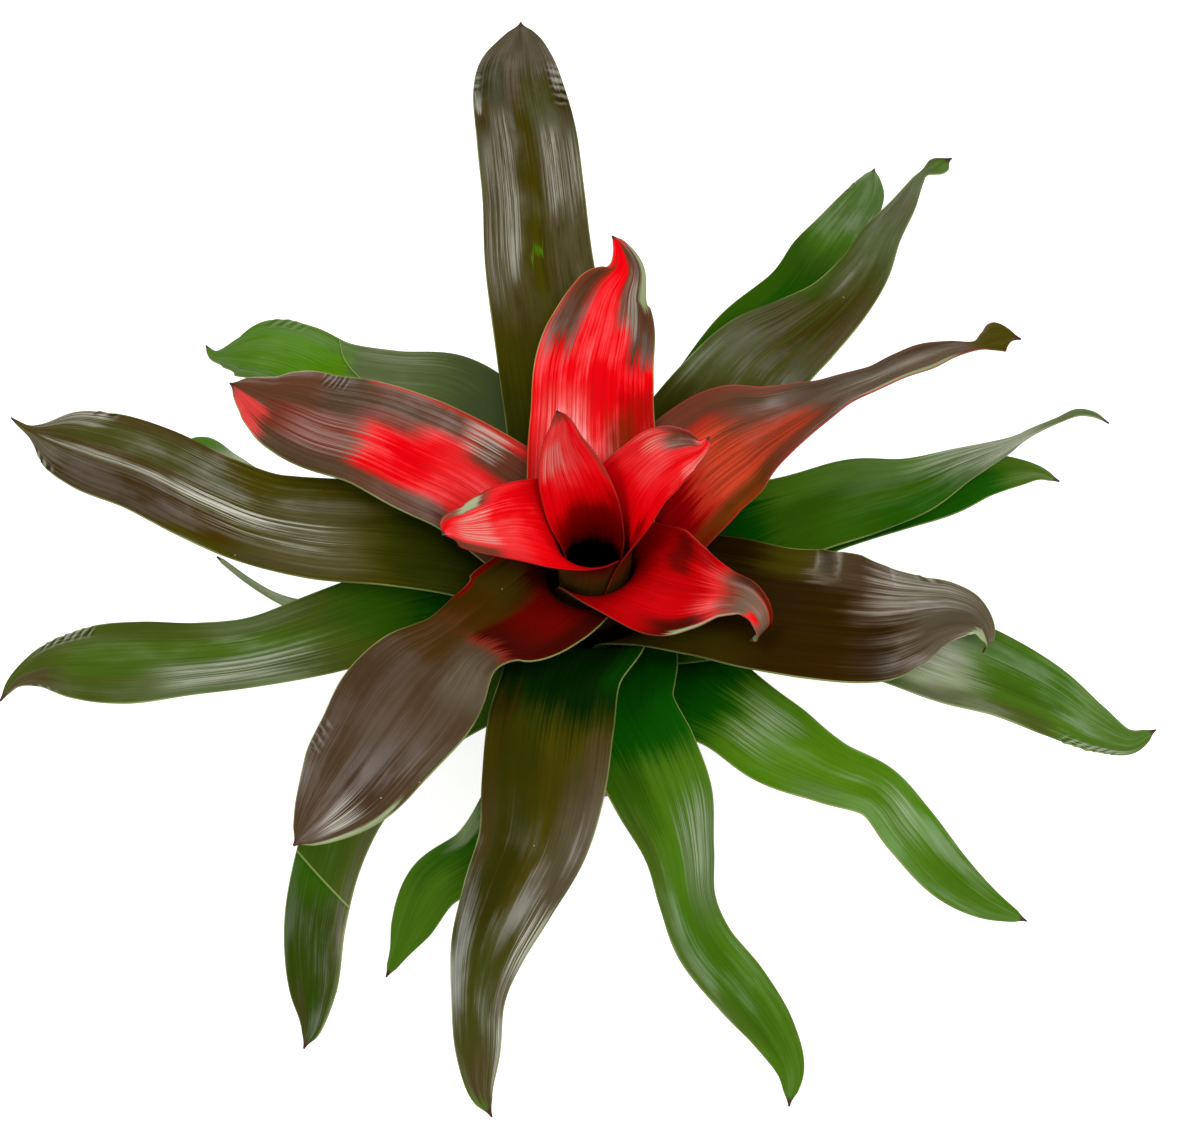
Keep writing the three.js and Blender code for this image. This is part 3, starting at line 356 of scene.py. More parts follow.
        ("olive", 0.60, 0.28, 0.48, 0.4, 1.3, 0.05), ("moss", 0.85, 0.40, 1.10, -1.3, 1.3, 0.05),
        ("green", 0.45, 0.45, 0.86, -0.5, 0.3, 0.05), ("grey_green", 0.70, 0.48, 0.68, 0.0, 1.1, 0.05),
        ("pale", 0.50, 0.49, 0.68, 0.1, 0.8, 0.05), ("grey_green", 0.50, 0.46, 0.60, -1.3, -0.6, 0.04),
        ("bronze", 0.70, 0.88, 1.05, 0.1, 1.3, 0.04), ("pale", 0.40, 0.84, 0.93, -1.0, -0.7, 0.02)],
    "leaf_15_green_upper_left": [
        ("deep_green", 0.60, 0.00, 0.38, -1.3, 1.3, 0.04), ("dark_olive", 1.00, 0.22, 0.50, -1.3, 1.3, 0.06),
        ("moss", 0.75, 0.46, 0.66, -1.3, 1.3, 0.05), ("grey_green", 0.22, 0.54, 0.68, -1.3, 1.3, 0.05),
        ("grey", 0.22, 0.54, 0.66, -1.3, 1.3, 0.05), ("pale", 0.25, 0.50, 0.66, -1.3, -0.55, 0.04),
        ("bright_green", 1.00, 0.66, 1.10, -1.3, 1.3, 0.01), ("grey_green", 0.45, 0.74, 0.96, 0.6, 1.3, 0.03),
        ("grey_green", 0.35, 0.66, 0.88, -1.3, -0.6, 0.03),
        ("grey_green", 0.25, 0.88, 1.05, -1.3, 1.3, 0.04)],
    "leaf_16_green_front": [
        ("deep_green", 1.00, 0.00, 0.40, -1.3, 1.3, 0.04), ("dark_green", 0.75, 0.38, 0.50, -1.3, -0.2, 0.05),
        ("bright_green", 0.30, 0.42, 0.90, -0.3, 0.6, 0.05), ("grey_green", 0.50, 0.50, 0.66, 0.1, 1.3, 0.05),
        ("pale", 0.28, 0.50, 0.62, 0.1, 0.9, 0.05), ("moss", 0.45, 0.48, 0.86, -1.3, -0.6, 0.04),
        ("dark_green", 0.40, 0.64, 0.90, -0.6, 0.4, 0.05)],
    "leaf_17_green_lower_right": [
        ("grey_green", 0.80, 0.40, 0.64, -1.3, 0.6, 0.04), ("pale_green", 1.00, 0.40, 0.63, -0.75, 0.6, 0.05),
        ("pale", 1.00, 0.44, 0.62, -0.6, 0.45, 0.04), ("bronze", 0.45, 0.56, 0.80, -1.3, -0.6, 0.04),
        ("moss", 0.60, 0.50, 0.68, 0.6, 1.3, 0.04), ("dark_green", 0.45, 0.68, 0.84, -0.3, 0.9, 0.04),
        ("umber", 0.30, 0.60, 0.80, -1.3, 0.0, 0.04), ("grey_green", 0.20, 0.86, 1.10, -1.3, 1.3, 0.04),
        ("pale", 0.60, 0.84, 0.94, -1.0, -0.78, 0.02)],
    "leaf_18_green_lower_left": [
        ("deep_green", 0.60, 0.00, 0.46, -1.3, 1.3, 0.05), ("green", 0.60, 0.44, 0.66, -1.3, 1.3, 0.04),
        ("dark_green", 0.85, 0.62, 1.10, -1.3, 0.5, 0.04), ("moss", 0.60, 0.60, 1.10, 0.3, 1.3, 0.05),
        ("dark_olive", 0.65, 0.76, 1.10, -1.3, 0.9, 0.04), ("grey", 0.60, 0.58, 0.86, 0.66, 1.3, 0.04),
        ("bronze", 0.50, 0.90, 1.05, -1.3, -0.4, 0.04)],
    "leaf_19_green_upper_right": [
        ("dark_green", 0.90, 0.00, 0.72, -1.3, 1.3, 0.06), ("deep_green", 0.60, 0.44, 0.60, -1.3, 0.5, 0.04),
        ("green", 0.50, 0.66, 0.90, -1.3, 0.6, 0.05), ("grey_green", 0.40, 0.78, 1.10, -1.3, 1.3, 0.05)],
    "leaf_20_green_right": [
        ("deep_green", 1.00, 0.00, 0.32, -1.3, 0.7, 0.04), ("dark_green", 0.75, 0.32, 0.62, -1.3, 0.4, 0.05),
        ("deep_green", 0.50, 0.45, 0.66, -1.3, -0.3, 0.04), ("grey_green", 0.40, 0.42, 0.60, 0.2, 1.3, 0.06),
        ("grey_green", 0.85, 0.61, 1.10, -1.3, 1.3, 0.05), ("pale", 0.30, 0.60, 0.82, -0.1, 1.1, 0.05),
        ("pale", 0.50, 0.68, 0.84, -1.3, 1.1, 0.04), ("pale", 0.75, 0.76, 0.88, -1.3, -0.5, 0.03),
        ("moss", 0.30, 0.84, 1.10, -1.3, 1.3, 0.05)],
    "leaf_21_green_front_right": [
        ("deep_green", 1.0, 0.00, 0.37, -1.3, 1.3, 0.04), ("bright_green", 0.60, 0.40, 0.80, -1.3, 1.3, 0.05),
        ("pale", 0.36, 0.41, 0.48, -0.5, 0.7, 0.04), ("grey_green", 0.35, 0.54, 0.62, -1.0, -0.4, 0.04),
        ("pale", 0.34, 0.69, 0.76, -0.5, 0.6, 0.04), ("green", 0.40, 0.80, 1.05, -1.3, 1.3, 0.04)],
    "leaf_22_green_under_front": [
        ("dark_green", 0.85, 0.00, 0.74, -1.3, 1.3, 0.05), ("deep_green", 0.40, 0.50, 0.80, -1.3, -0.1, 0.05),
        ("pale_green", 0.60, 0.62, 0.72, -1.3, -0.55, 0.03)],
    "leaf_23_green_under_right": [
        ("deep_green", 0.90, 0.00, 0.86, -1.3, 0.1, 0.05), ("dark_green", 0.50, 0.70, 0.90, 0.0, 1.3, 0.05),
        ("moss", 0.40, 0.88, 1.05, -1.3, 1.3, 0.04)],
    "leaf_24_green_under_back": [
        ("bright_green", 0.60, 0.50, 1.1, -1.3, 1.3, 0.05), ("grey_green", 0.80, 0.60, 0.92, -1.3, 1.3, 0.05),
        ("pale_green", 0.90, 0.60, 0.90, -1.3, 0.5, 0.04), ("pale", 0.60, 0.62, 0.90, -1.3, 0.3, 0.04)],
    "leaf_25_green_under_left": [
        ("pale_green", 0.95, 0.50, 1.10, -1.3, 1.3, 0.05), ("pale", 1.00, 0.74, 1.10, -1.3, 0.5, 0.05),
        ("bright_green", 0.12, 0.50, 1.10, -1.3, 1.3, 0.05)],
}


# ---- settings that a user would change ----
class LeafSettings(bpy.types.PropertyGroup):
    rows: IntProperty(name="Rows", description="Grid rows along a leaf", default=270, min=20)
    columns: IntProperty(name="Columns", description="Grid columns across a leaf", default=30, min=8)
    thickness: FloatProperty(
        name="Thickness", description="Thickness along the midrib", default=0.9 * MM, unit="LENGTH")
    edge: FloatProperty(
        name="Edge", description="Thickness at the margins", default=0.7 * MM, unit="LENGTH")
    margin: FloatProperty(
        name="Margin", description="Width of the pale margin line", default=0.55 * MM, unit="LENGTH")
    roughness: FloatProperty(
        name="Roughness", description="Roughness of the waxy upper face", default=0.30, min=0, max=1)


def colour(label, value):
    """A colour of the leaves that a user can change."""
    return FloatVectorProperty(name=label, description=f"{label} tissue colour", subtype="COLOR", size=3,
                               default=value, min=0, max=1)


class LeafColours(bpy.types.PropertyGroup):
    red: colour("Red", (0.80, 0.0006, 0.004))
    # Pink bloom; on the tips of the cup leaves it also stands in for their pinkish sheen, a painted
    # highlight.
    pink: colour("Pink", (0.78, 0.045, 0.045))
    deep_red: colour("Deep red", (0.24, 0.0004, 0.0006))
    maroon: colour("Maroon", (0.052, 0.003, 0.0008))
    russet: colour("Russet", (0.058, 0.025, 0.001))
    umber: colour("Umber", (0.030, 0.015, 0.0010))
    deep_brown: colour("Deep brown", (0.026, 0.0115, 0.0007))
    bronze: colour("Bronze", (0.074, 0.044, 0.021))
    brown: colour("Brown", (0.050, 0.025, 0.010))
    # Grey bloom, also laid where the blades catch soft highlights: partly real bloom, partly painted
    # highlight.
    grey: colour("Grey bloom and painted highlight", (0.125, 0.104, 0.066))
    olive: colour("Olive", (0.060, 0.051, 0.0020))
    dark_olive: colour("Dark olive", (0.026, 0.033, 0.0012))
    moss: colour("Moss", (0.060, 0.074, 0.0110))
    green: colour("Green", (0.066, 0.158, 0.0075))
    bright_green: colour("Bright green", (0.074, 0.200, 0.0030))
    deep_green: colour("Deep green", (0.0040, 0.078, 0.0008))
    dark_green: colour("Dark green", (0.026, 0.085, 0.0012))
    black_green: colour("Black green", (0.0025, 0.017, 0.0008))
    grey_green: colour("Grey green", (0.110, 0.150, 0.064))
    # Painted shade: laid in the throat of the cup and in the troughs of crinkles.
    dark: colour("Dark", (0.002, 0.001, 0.0006))
    # Waxy bloom, laid where highlights fall on the blades and on the crests of crinkles: partly real bloom,
    # partly painted highlight.
    pale: colour("Bloom and painted highlight", (0.52, 0.51, 0.42))
    pale_green: colour("Pale green", (0.33, 0.40, 0.21))
    pale_margin: colour("Pale margin", (0.26, 0.30, 0.08))
    red_margin: colour("Red margin", (0.42, 0.030, 0.020))
    brick: colour("Brick red", (0.78, 0.085, 0.032))
    spine: colour("Spine", (0.060, 0.026, 0.014))
    underside: colour("Underside", (0.20, 0.26, 0.14))
    cup_back: colour("Back of the cup", (0.14, 0.012, 0.004))
    sheath: colour("Outer sheath", (0.105, 0.055, 0.008))


class PotSettings(bpy.types.PropertyGroup):
    height: FloatProperty(name="Height", description="Pot height", default=96 * MM, unit="LENGTH")
    top_radius: FloatProperty(
        name="Top radius", description="Radius under the lip", default=60 * MM, unit="LENGTH")
    foot_radius: FloatProperty(
        name="Foot radius", description="Radius at the underside", default=43 * MM, unit="LENGTH")
    wall: FloatProperty(name="Wall", description="Wall thickness", default=1.6 * MM, unit="LENGTH")
    floor: FloatProperty(name="Floor", description="Floor thickness", default=2.4 * MM, unit="LENGTH")
    soil_top: FloatProperty(
        name="Mix height", description="Height of the potting mix", default=87 * MM, unit="LENGTH")
    plastic: FloatVectorProperty(
        name="Plastic", description="Colour of the pot", subtype="COLOR", size=3,
        default=(0.012, 0.012, 0.013), min=0, max=1)


class StageSettings(bpy.types.PropertyGroup):
    floor: FloatVectorProperty(
        name="Floor", description="Colour of the floor", subtype="COLOR", size=3,
        default=(0.86, 0.86, 0.86), min=0, max=1)
    floor_glow: FloatProperty(
        name="Floor glow", description="Light given off by the lit floor panel", default=0.60, min=0)
    room: FloatProperty(name="Room", description="Light from the dim room around", default=0.24, min=0)
    elevation: FloatProperty(
        name="Elevation", description="Camera angle above the horizon",
        default=math.radians(62), subtype="ANGLE")
    distance: FloatProperty(
        name="Distance", description="Camera distance from its target", default=1.16, unit="LENGTH")
    lens: FloatProperty(name="Lens", description="Focal length in millimetres", default=80)


# ---- the surface of a leaf ----
def ease(low, high, value):
    """Smooth step from 0 at low to 1 at high."""
    share = np.clip((value - low) / (high - low), 0, 1)
    return share * share * (3 - 2 * share)


def stations_of(leaf):
    """On the stem, along the leaf's layer of the bulb, then its own path."""
    layer = leaf["layer"]
    start = math.asin(LEAF_START / layer)
    end = math.radians(leaf["exit"])
    sheath_half = leaf["path"][0][3]
    bulb = []
    for k in range(BULB_STATIONS + 1):
        share = k / BULB_STATIONS
        around = start + (end - start) * share
        half = LEAF_BASE_HALF + (sheath_half - LEAF_BASE_HALF) * float(ease(0, 1, share))
        height = BULB_MIDDLE - BULB_SQUASH * layer * math.cos(around)
        bulb.append([layer * math.sin(around), height, 0, half, 0])
    return np.array(bulb + leaf["path"], dtype=float)


class LeafSurface:
    """The middle surface of one leaf: a cubic through its stations, wrapped round the plant as a
    sheath at first and opening into a channelled blade."""

    def __init__(self, leaf):
        self.leaf = leaf
        self.stations = stations_of(leaf)
        steps = np.linalg.norm(np.diff(self.stations[:, :3], axis=0), axis=1)
        self.knots = np.concatenate([[0], np.cumsum(np.sqrt(steps))])
        rises = np.diff(self.stations, axis=0) / np.diff(self.knots)[:, None]
        spans = np.diff(self.knots)[:, None]
        inner = (rises[:-1] * spans[1:] + rises[1:] * spans[:-1]) / (spans[:-1] + spans[1:])
        self.slopes = np.vstack([rises[:1], inner, rises[-1:]])
        widest = max(station[3] for station in leaf["path"][3:])
        self.bend = math.radians(leaf["channel"]) / widest
        self.last = len(self.stations) - 1

    def station_at(self, place):
        """Reach, height, sway, half width and roll at a place between the stations."""
        k = np.clip(np.floor(place).astype(int), 0, self.last - 1)
        u = (place - k)[:, None]
        span = (self.knots[k + 1] - self.knots[k])[:, None]
        here, there = self.stations[k], self.stations[k + 1]
        return (here * (1 + 2 * u) * (1 - u) ** 2 + there * u * u * (3 - 2 * u)
                + span * self.slopes[k] * u * (1 - u) ** 2
                + span * self.slopes[k + 1] * u * u * (u - 1))

    def half_at(self, place):
        """Half width of the leaf, in millimetres."""
        return np.maximum(self.station_at(place)[:, 3], TIP_HALF)

    def middle(self, place, across):
        """Points of the middle surface, the leaf pointing along +X."""
        station = self.station_at(place)
        reach, height, sway, half, roll = station.T
        ahead = (self.station_at(np.minimum(place + NUDGE, self.last))
                 - self.station_at(np.maximum(place - NUDGE, 0)))
        forward = unit(ahead[:, [0, 2, 1]])
        arc = across * np.maximum(half, TIP_HALF)
        wrapped = np.stack([reach * np.cos(arc / reach), reach * np.sin(arc / reach) + sway, height], 1)
        left = unit(np.array([0, 1, 0]) - forward * forward[:, 1:2])
        turn = np.radians(roll)[:, None]
        left = left * np.cos(turn) + np.cross(forward, left) * np.sin(turn)
        up = np.cross(forward, left)
        centre = np.stack([reach, sway, height], 1)
        opened = (centre + left * (np.sin(self.bend * arc) / self.bend)[:, None]
                  + up * ((1 - np.cos(self.bend * arc)) / self.bend)[:, None])
        layer = self.leaf["layer"]
        share = ease(layer + UNWRAP_FROM, layer + UNWRAP_TO, reach)[:, None]
        return wrapped * (1 - share) + opened * share

    def normal(self, place, across):
        """Directions square to the middle surface, up out of the upper face."""
        a = np.clip(place, NUDGE, self.last - NUDGE)
        b = np.clip(across, NUDGE - 1, 1 - NUDGE)
        forward = self.middle(a + NUDGE, b) - self.middle(a - NUDGE, b)
        sideways = self.middle(a, b + NUDGE) - self.middle(a, b - NUDGE)
        return unit(np.cross(forward, sideways))

    def places_by_length(self, shares):
        """Places at these shares of the leaf's whole length, and that length."""
        places = np.linspace(0, self.last, LENGTH_SAMPLES)
        line = self.station_at(places)[:, :3]
        run = np.concatenate([[0], np.cumsum(np.linalg.norm(np.diff(line, axis=0), axis=1))])
        return np.interp(shares * run[-1], run, places), run[-1]


def unit(vectors):
    """The same directions with a length of 1."""
    return vectors / np.linalg.norm(vectors, axis=-1, keepdims=True)


def uneven_wave(turns, phase):
    """A sine whose spacing and height drift from wave to wave."""
    drift = 0.9 * np.sin(0.6 * turns)
    swell = 0.7 + 0.3 * np.cos(0.4 * turns + phase)
    return np.sin(turns + drift) * swell


def relief(leaf, along, across):
    """Height of the crinkles, ridges and slow undulation over the blade, in millimetres."""
    phase = math.radians(leaf["heading"]) * 3
    blade = ease(*BLADE_FROM, along) * (1 - CALM_SHARE * ease(CALM_FROM, 1, along))
    rock = ROCK_HEIGHT * np.sin(ROCK_WAVE * along + phase) * across
    swell = SWELL_HEIGHT * np.sin(SWELL_WAVE * along + 2 * phase) * (across ** 2 - SWELL_LEVEL)
    height = blade * (rock + swell)
    for side, start, end, inset, tall, waves in RUFFLES.get(leaf["name"], ()):
        band = np.exp(-((1 - side * across) / inset) ** 2)
        window = ease(start, start + RUFFLE_FADE, along) * (1 - ease(end - RUFFLE_FADE, end, along))
        turns = TURN * waves * (along - start) / (end - start)
        height += tall * band * window * uneven_wave(turns, phase)
    for middle, start, end, tall, width in CREASES.get(leaf["name"], ()):
        ridge = np.exp(-((across - middle) / width) ** 2)
        window = ease(start, start + CREASE_FADE, along) * (1 - ease(end - CREASE_FADE, end, along))
        height += tall * ridge * window
    return height


def build_leaf(leaf, sizes):
    """One closed leaf: a flat unit grid made a slab, whose two faces are then laid along the leaf."""
    surface = LeafSurface(leaf)
    bm = bmesh.new()
    bmesh.ops.create_grid(bm, x_segments=sizes.columns, y_segments=sizes.rows, size=0.5)
    upper = list(bm.verts)
    shares = np.array([[v.co.x * 2, v.co.y + 0.5] for v in upper])
    bmesh.ops.solidify(bm, geom=bm.faces[:], thickness=0.1)
    bm.verts.ensure_lookup_table()
    top = {v.index for v in upper}
    along, across = spread(shares)
    place, length = surface.places_by_length(along)
    drawn_in = across * (1 - SPINE_SHARE * ease(SPINE_FROM, 1, along))
    middle = surface.middle(place, drawn_in)
    normal = surface.normal(place, drawn_in)
    thick = (sizes.thickness + (sizes.edge - sizes.thickness) * across ** 2) / MM
    thick *= 1 - THIN_SHARE * ease(THIN_FROM, 1, along)
    middle += normal * relief(leaf, along, across)[:, None]
    turn = np.array(Matrix.Rotation(math.radians(leaf["heading"]), 3, "Z"))
    faces = {True: (middle + normal * thick[:, None] / 2) @ turn.T * MM,
             False: (middle - normal * thick[:, None] / 2) @ turn.T * MM}
    values = {"along": along, "across": across, "run": along * length * MM,
              "edge": (1 - abs(across)) * surface.half_at(place) * MM}
    layers = {name: bm.verts.layers.float.new(name) for name in (*values, "under")}
    places = match_rows(bm, shares)
    for vert in bm.verts:
        row = places[vert.index]
        is_top = vert.index in top
        vert.co = faces[is_top][row]
        vert[layers["under"]] = 0.0 if is_top else 1.0
        for name in values:
            vert[layers[name]] = values[name][row]
    bmesh.ops.recalc_face_normals(bm, faces=bm.faces[:])
    return finish_mesh(bm, leaf["name"] + "_blade")


def spread(shares):
    """Rows crowd towards the tip and columns towards the margins."""
    across = np.sin(shares[:, 0] * math.pi / 2)
    along = 1 - (1 - shares[:, 1]) ** TIP_CROWDING
    return along, across


def match_rows(bm, shares):
    """For each vertex, the number of the grid point that it lies over or under."""
    keys = {(round(x, 5), round(y, 5)): n for n, (x, y) in enumerate(shares)}
    return [keys[(round(v.co.x * 2, 5), round(v.co.y + 0.5, 5))] for v in bm.verts]


def finish_mesh(bm, name):
    """Turns a bmesh into a smooth object in the scene."""
    mesh = bpy.data.meshes.new(name)
    bm.to_mesh(mesh)
    bm.free()
    mesh.shade_smooth()
    piece = bpy.data.objects.new(name, mesh)
    bpy.context.scene.collection.objects.link(piece)
    return piece


# ---- materials ----
def wire(tree, kind, inputs=None, **settings):
    """Adds a node: settings are its properties and inputs its sockets, by name or number."""
    made = tree.nodes.new(kind)
    for name, value in settings.items():
        setattr(made, name, value)
    for name, value in (inputs or {}).items():
        if isinstance(value, bpy.types.NodeSocket):
            tree.links.new(value, made.inputs[name])
        else:
            made.inputs[name].default_value = value
    return made


def maths(tree, operation, a, b=0.0):
    """One step of arithmetic, on sockets or numbers."""
    return wire(tree, "ShaderNodeMath", {0: a, 1: b}, operation=operation).outputs[0]


def blend(tree, factor, a, b, mode="MIX"):
    """Mixes two colours."""
    mixed = wire(tree, "ShaderNodeMix", {"Factor": factor}, data_type="RGBA", blend_type=mode)
    for name, value in (("A", a), ("B", b)):
        socket = [s for s in mixed.inputs if s.name == name and s.type == "RGBA"][0]
        if isinstance(value, bpy.types.NodeSocket):
            tree.links.new(value, socket)
        else:
            socket.default_value = (*value[:3], 1)
    return [s for s in mixed.outputs if s.type == "RGBA"][0]


def step(tree, value, low, high):
    """Smooth step from 0 at low to 1 at high."""
    made = wire(tree, "ShaderNodeMapRange", {"Value": value, "From Min": low, "From Max": high},
                interpolation_type="SMOOTHSTEP", clamp=True)
    return made.outputs["Result"]


def grain(tree, vector, scale, detail=2.0, roughness=0.5):
    """Noise from 0 to 1."""
    return wire(tree, "ShaderNodeTexNoise",
                {"Vector": vector, "Scale": scale, "Detail": detail, "Roughness": roughness}).outputs["Fac"]


def grey_level(tree, value):
    """A grey of this brightness."""
    return wire(tree, "ShaderNodeCombineColor", {0: value, 1: value, 2: value}).outputs[0]


def emboss(tree, shader, height, strength, depth):
    """Fine relief in the shading only."""
    bump = wire(tree, "ShaderNodeBump", {"Height": height, "Strength": strength, "Distance": depth})
    tree.links.new(bump.outputs[0], shader.inputs["Normal"])


def attribute(tree, name):
    """One of the values that a leaf's vertices hold."""
    return wire(tree, "ShaderNodeAttribute", attribute_name=name).outputs["Fac"]


def new_material(name):
    """A material with an empty tree but for its shader; returns it, the tree and the shader."""
    made = bpy.data.materials.new(name)
    made.use_nodes = True
    made.node_tree.nodes.clear()
    tree = made.node_tree
    shader = wire(tree, "ShaderNodeBsdfPrincipled")
    wire(tree, "ShaderNodeOutputMaterial", {"Surface": shader.outputs[0]})
    return made, tree, shader


# ---- the skin of a leaf ----
# How strongly the waxy patches of each kind shine.
GLOSS = {"cup": 1.0, "red": 0.9, "bronze": 1.0, "green": 0.65}

# How strongly the hairlines of each kind show in its colour.
HAIRLINE_SHADE = {"cup": 0.6, "red": 0.9, "bronze": 1.25, "green": 0.8}

# For each kind: body, base, margin, underside near the base and underside of the blade.
KIND_COLOURS = {
    "cup": ("red", "deep_red", "red_margin", "sheath", "cup_back"),
    "red": ("red", "deep_red", "red_margin", "sheath", "underside"),
    "bronze": ("olive", "dark_olive", "pale_margin", "underside", "underside"),
    "green": ("green", "deep_green", "pale_margin", "underside", "underside"),
}

# Red leaves whose margin line is pale, as on the leaves below them.
PALE_RIMMED = ("leaf_05_red_lower_left", "leaf_06_red_back", "leaf_07_red_left")

# Noises drawn out along the veins: ribs over half the width, stretch per metre, detail, roughness.
HAIRLINES = (25.0, 9.0, 4.0, 0.75)
RIBS = (5.0, 11.0, 2.0, 0.5)
BLOTCHES = (1.6, 26.0, 3.0, 0.5)
SEED_PER_DEGREE = 0.37

# How far blotches, hairlines and ribs push the ends and the sides of a marking.
END_PUSH = (0.09, 0.12, 0.05)
SIDE_PUSH = (0.24, 0.14, 0.10)

# How strongly blotches and ribs show in the colour.
BLOTCH_SHADE = 0.55
RIB_SHADE = 0.22

# A marking fades over its softness along the leaf, and over this many times as much across it.
SIDE_SOFTNESS = 3

# Crinkles as colour: sheen on the crests and shade in the troughs, per millimetre of their height,
# between these levels of their wave, and how the wave slants and drifts.
CREST_SHEEN = 0.38
TROUGH_SHADE = 0.70
CREST_FROM = (0.1, 1.0)
TROUGH_FROM = (0.2, -0.9)
CRINKLE_SLANT = 0.05
CRINKLE_DRIFT = 5.0

# How far in from the margin crinkles show as colour, in insets, and how far past their ends.
CRINKLE_REACH = (1.6, 0.6)
CRINKLE_ENDS = (0.005, 0.01)

# The fold of a margin: fades of its line and its shadow, the shadow's place and the flap's softness
# as shares of the leaf's length, then the strengths of tint, shadow, line and step in the relief.
FOLD_LINE = (0.0022, 0.0012)
FOLD_SHADOW = (0.006, 0.0)
FOLD_SHADOW_PLACE = 0.004
FOLD_SOFTNESS = 0.0015
FOLD_TINT = 0.4
FOLD_SHADE = 0.4
FOLD_LINE_STRENGTH = 0.8
FOLD_STEP = 2.0

# Where along the leaf the base colour, the sheath's underside and the brown spine give way or begin.
BASE_FADE = (0.1, 0.34)
SHEATH_FADE = (0.32, 0.50)
SPINE_FADE = (0.982, 0.992)

# The margin line: the share of its width at full strength, and the blotches that it comes and goes by.
RIM_CORE = 0.4
RIM_THRESHOLD = (0.25, 0.75)

# Relief in the shading of the veins: shares of hairlines and ribs, strength and depth.
VEIN_RELIEF = (0.6, 0.3)
VEIN_STRENGTH = 0.5
VEIN_DEPTH = 0.16 * MM

# Dust: specks per metre, their size as shares of a cell, how rare they are, strength and colour.
SPECK_SCALE = 130.0
SPECK_SIZE = (0.055, 0.035)
SPECK_RARITY = (0.93, 0.95)
SPECK_STRENGTH = 0.6
SPECK_COLOUR = (0.55, 0.52, 0.42)

# Wax: shares of blotches, hairlines and ribs in its patches, their threshold, how far before and
# past its start it sets in, and what it takes off the roughness.
WAX_PARTS = (0.50, 0.36, 0.14)
WAX_THRESHOLD = (0.47, 0.64)
WAX_BEFORE = 0.06
WAX_AFTER = 0.08
WAX_SMOOTHS = 0.12

# What skin without wax and the underside add to the roughness, and the faint shine without wax.
BARE_DULLS = 0.10
UNDERSIDE_DULLS = 0.2
BARE_SHINE = 0.01


class Veins:
    """What the shader of one leaf reads: its attributes, and noises drawn out along its veins."""

    def __init__(self, tree, leaf):
        self.tree = tree
        self.seed = leaf["heading"] * SEED_PER_DEGREE
        self.along = attribute(tree, "along")
        self.across = attribute(tree, "across")
        self.run = attribute(tree, "run")
        self.edge = attribute(tree, "edge")
        self.under = attribute(tree, "under")
        self.fine = self.noise(*HAIRLINES)
        self.broad = self.noise(*RIBS)
        self.blotch = self.noise(*BLOTCHES)
        self.far = self.pushed(self.along, *END_PUSH)
        self.side = self.pushed(self.across, *SIDE_PUSH)

    def noise(self, ribs, stretch, detail, roughness):
        """Noise from 0 to 1, fine across the leaf and long along it."""
        place = wire(self.tree, "ShaderNodeCombineXYZ", {
            0: maths(self.tree, "MULTIPLY", self.across, ribs),
            1: maths(self.tree, "MULTIPLY", self.run, stretch),
            2: self.seed})
        return grain(self.tree, place.outputs[0], 1.0, detail, roughness)

    def pushed(self, value, blotch, fine, broad):
        """A value pushed to and fro by these amounts of the three noises."""
        for noise, amount in ((self.blotch, blotch), (self.fine, fine), (self.broad, broad)):
            push = maths(self.tree, "MULTIPLY", maths(self.tree, "SUBTRACT", noise, 0.5), amount)
            value = maths(self.tree, "ADD", value, push)
        return value


def marking(veins, mark):
    """Where one marking lies: its strength inside its patch, fading over its softness."""
    tree = veins.tree
    name, strength, start, end, right, left, soft = mark
    wide = SIDE_SOFTNESS * soft
    lengthways = maths(tree, "MULTIPLY", step(tree, veins.far, start - soft, start + soft),
                       step(tree, veins.far, end + soft, end - soft))
    sideways = maths(tree, "MULTIPLY", step(tree, veins.side, right - wide, right + wide),
                     step(tree, veins.side, left + wide, left - wide))
    where = maths(tree, "MULTIPLY", maths(tree, "MULTIPLY", lengthways, sideways), strength)
    if name in STREAKED:
        where = maths(tree, "MULTIPLY", where, step(tree, veins.fine, *STREAK_THRESHOLD))
    return where


def crinkled(veins, ruffle, skin, colours):
    """One run of crinkles beside a margin: painted highlight on the crests and painted shade in
    the troughs, made uneven by the ribs.
    """
    tree = veins.tree
    side, start, end, inset, tall, waves = ruffle
    place = maths(tree, "SUBTRACT", veins.along, start)
    inwards = maths(tree, "SUBTRACT", maths(tree, "ABSOLUTE", veins.across), 1.0)
    slanted = maths(tree, "ADD", place, maths(tree, "MULTIPLY", inwards, CRINKLE_SLANT))
    turns = maths(tree, "MULTIPLY", slanted, TURN * waves / (end - start))
    drift = maths(tree, "MULTIPLY", veins.broad, CRINKLE_DRIFT)
    wave = maths(tree, "SINE", maths(tree, "ADD", turns, drift))
    far_in, near = (1 - reach * inset for reach in CRINKLE_REACH)
    band = step(tree, maths(tree, "MULTIPLY", veins.across, side), far_in, near)
    before, after = CRINKLE_ENDS
    inside = maths(tree, "MULTIPLY", step(tree, veins.along, start - before, start + after),
                   step(tree, veins.along, end + before, end - after))
    band = maths(tree, "MULTIPLY", band, inside)
    crest = maths(tree, "MULTIPLY", step(tree, wave, *CREST_FROM), band)
    trough = maths(tree, "MULTIPLY", step(tree, wave, *TROUGH_FROM), band)
    # Painted highlight on the crests and painted shade in the troughs.
    skin = blend(tree, maths(tree, "MULTIPLY", crest, CREST_SHEEN * tall), skin, colours.pale)
    return blend(tree, maths(tree, "MULTIPLY", trough, TROUGH_SHADE * tall), skin, colours.dark)


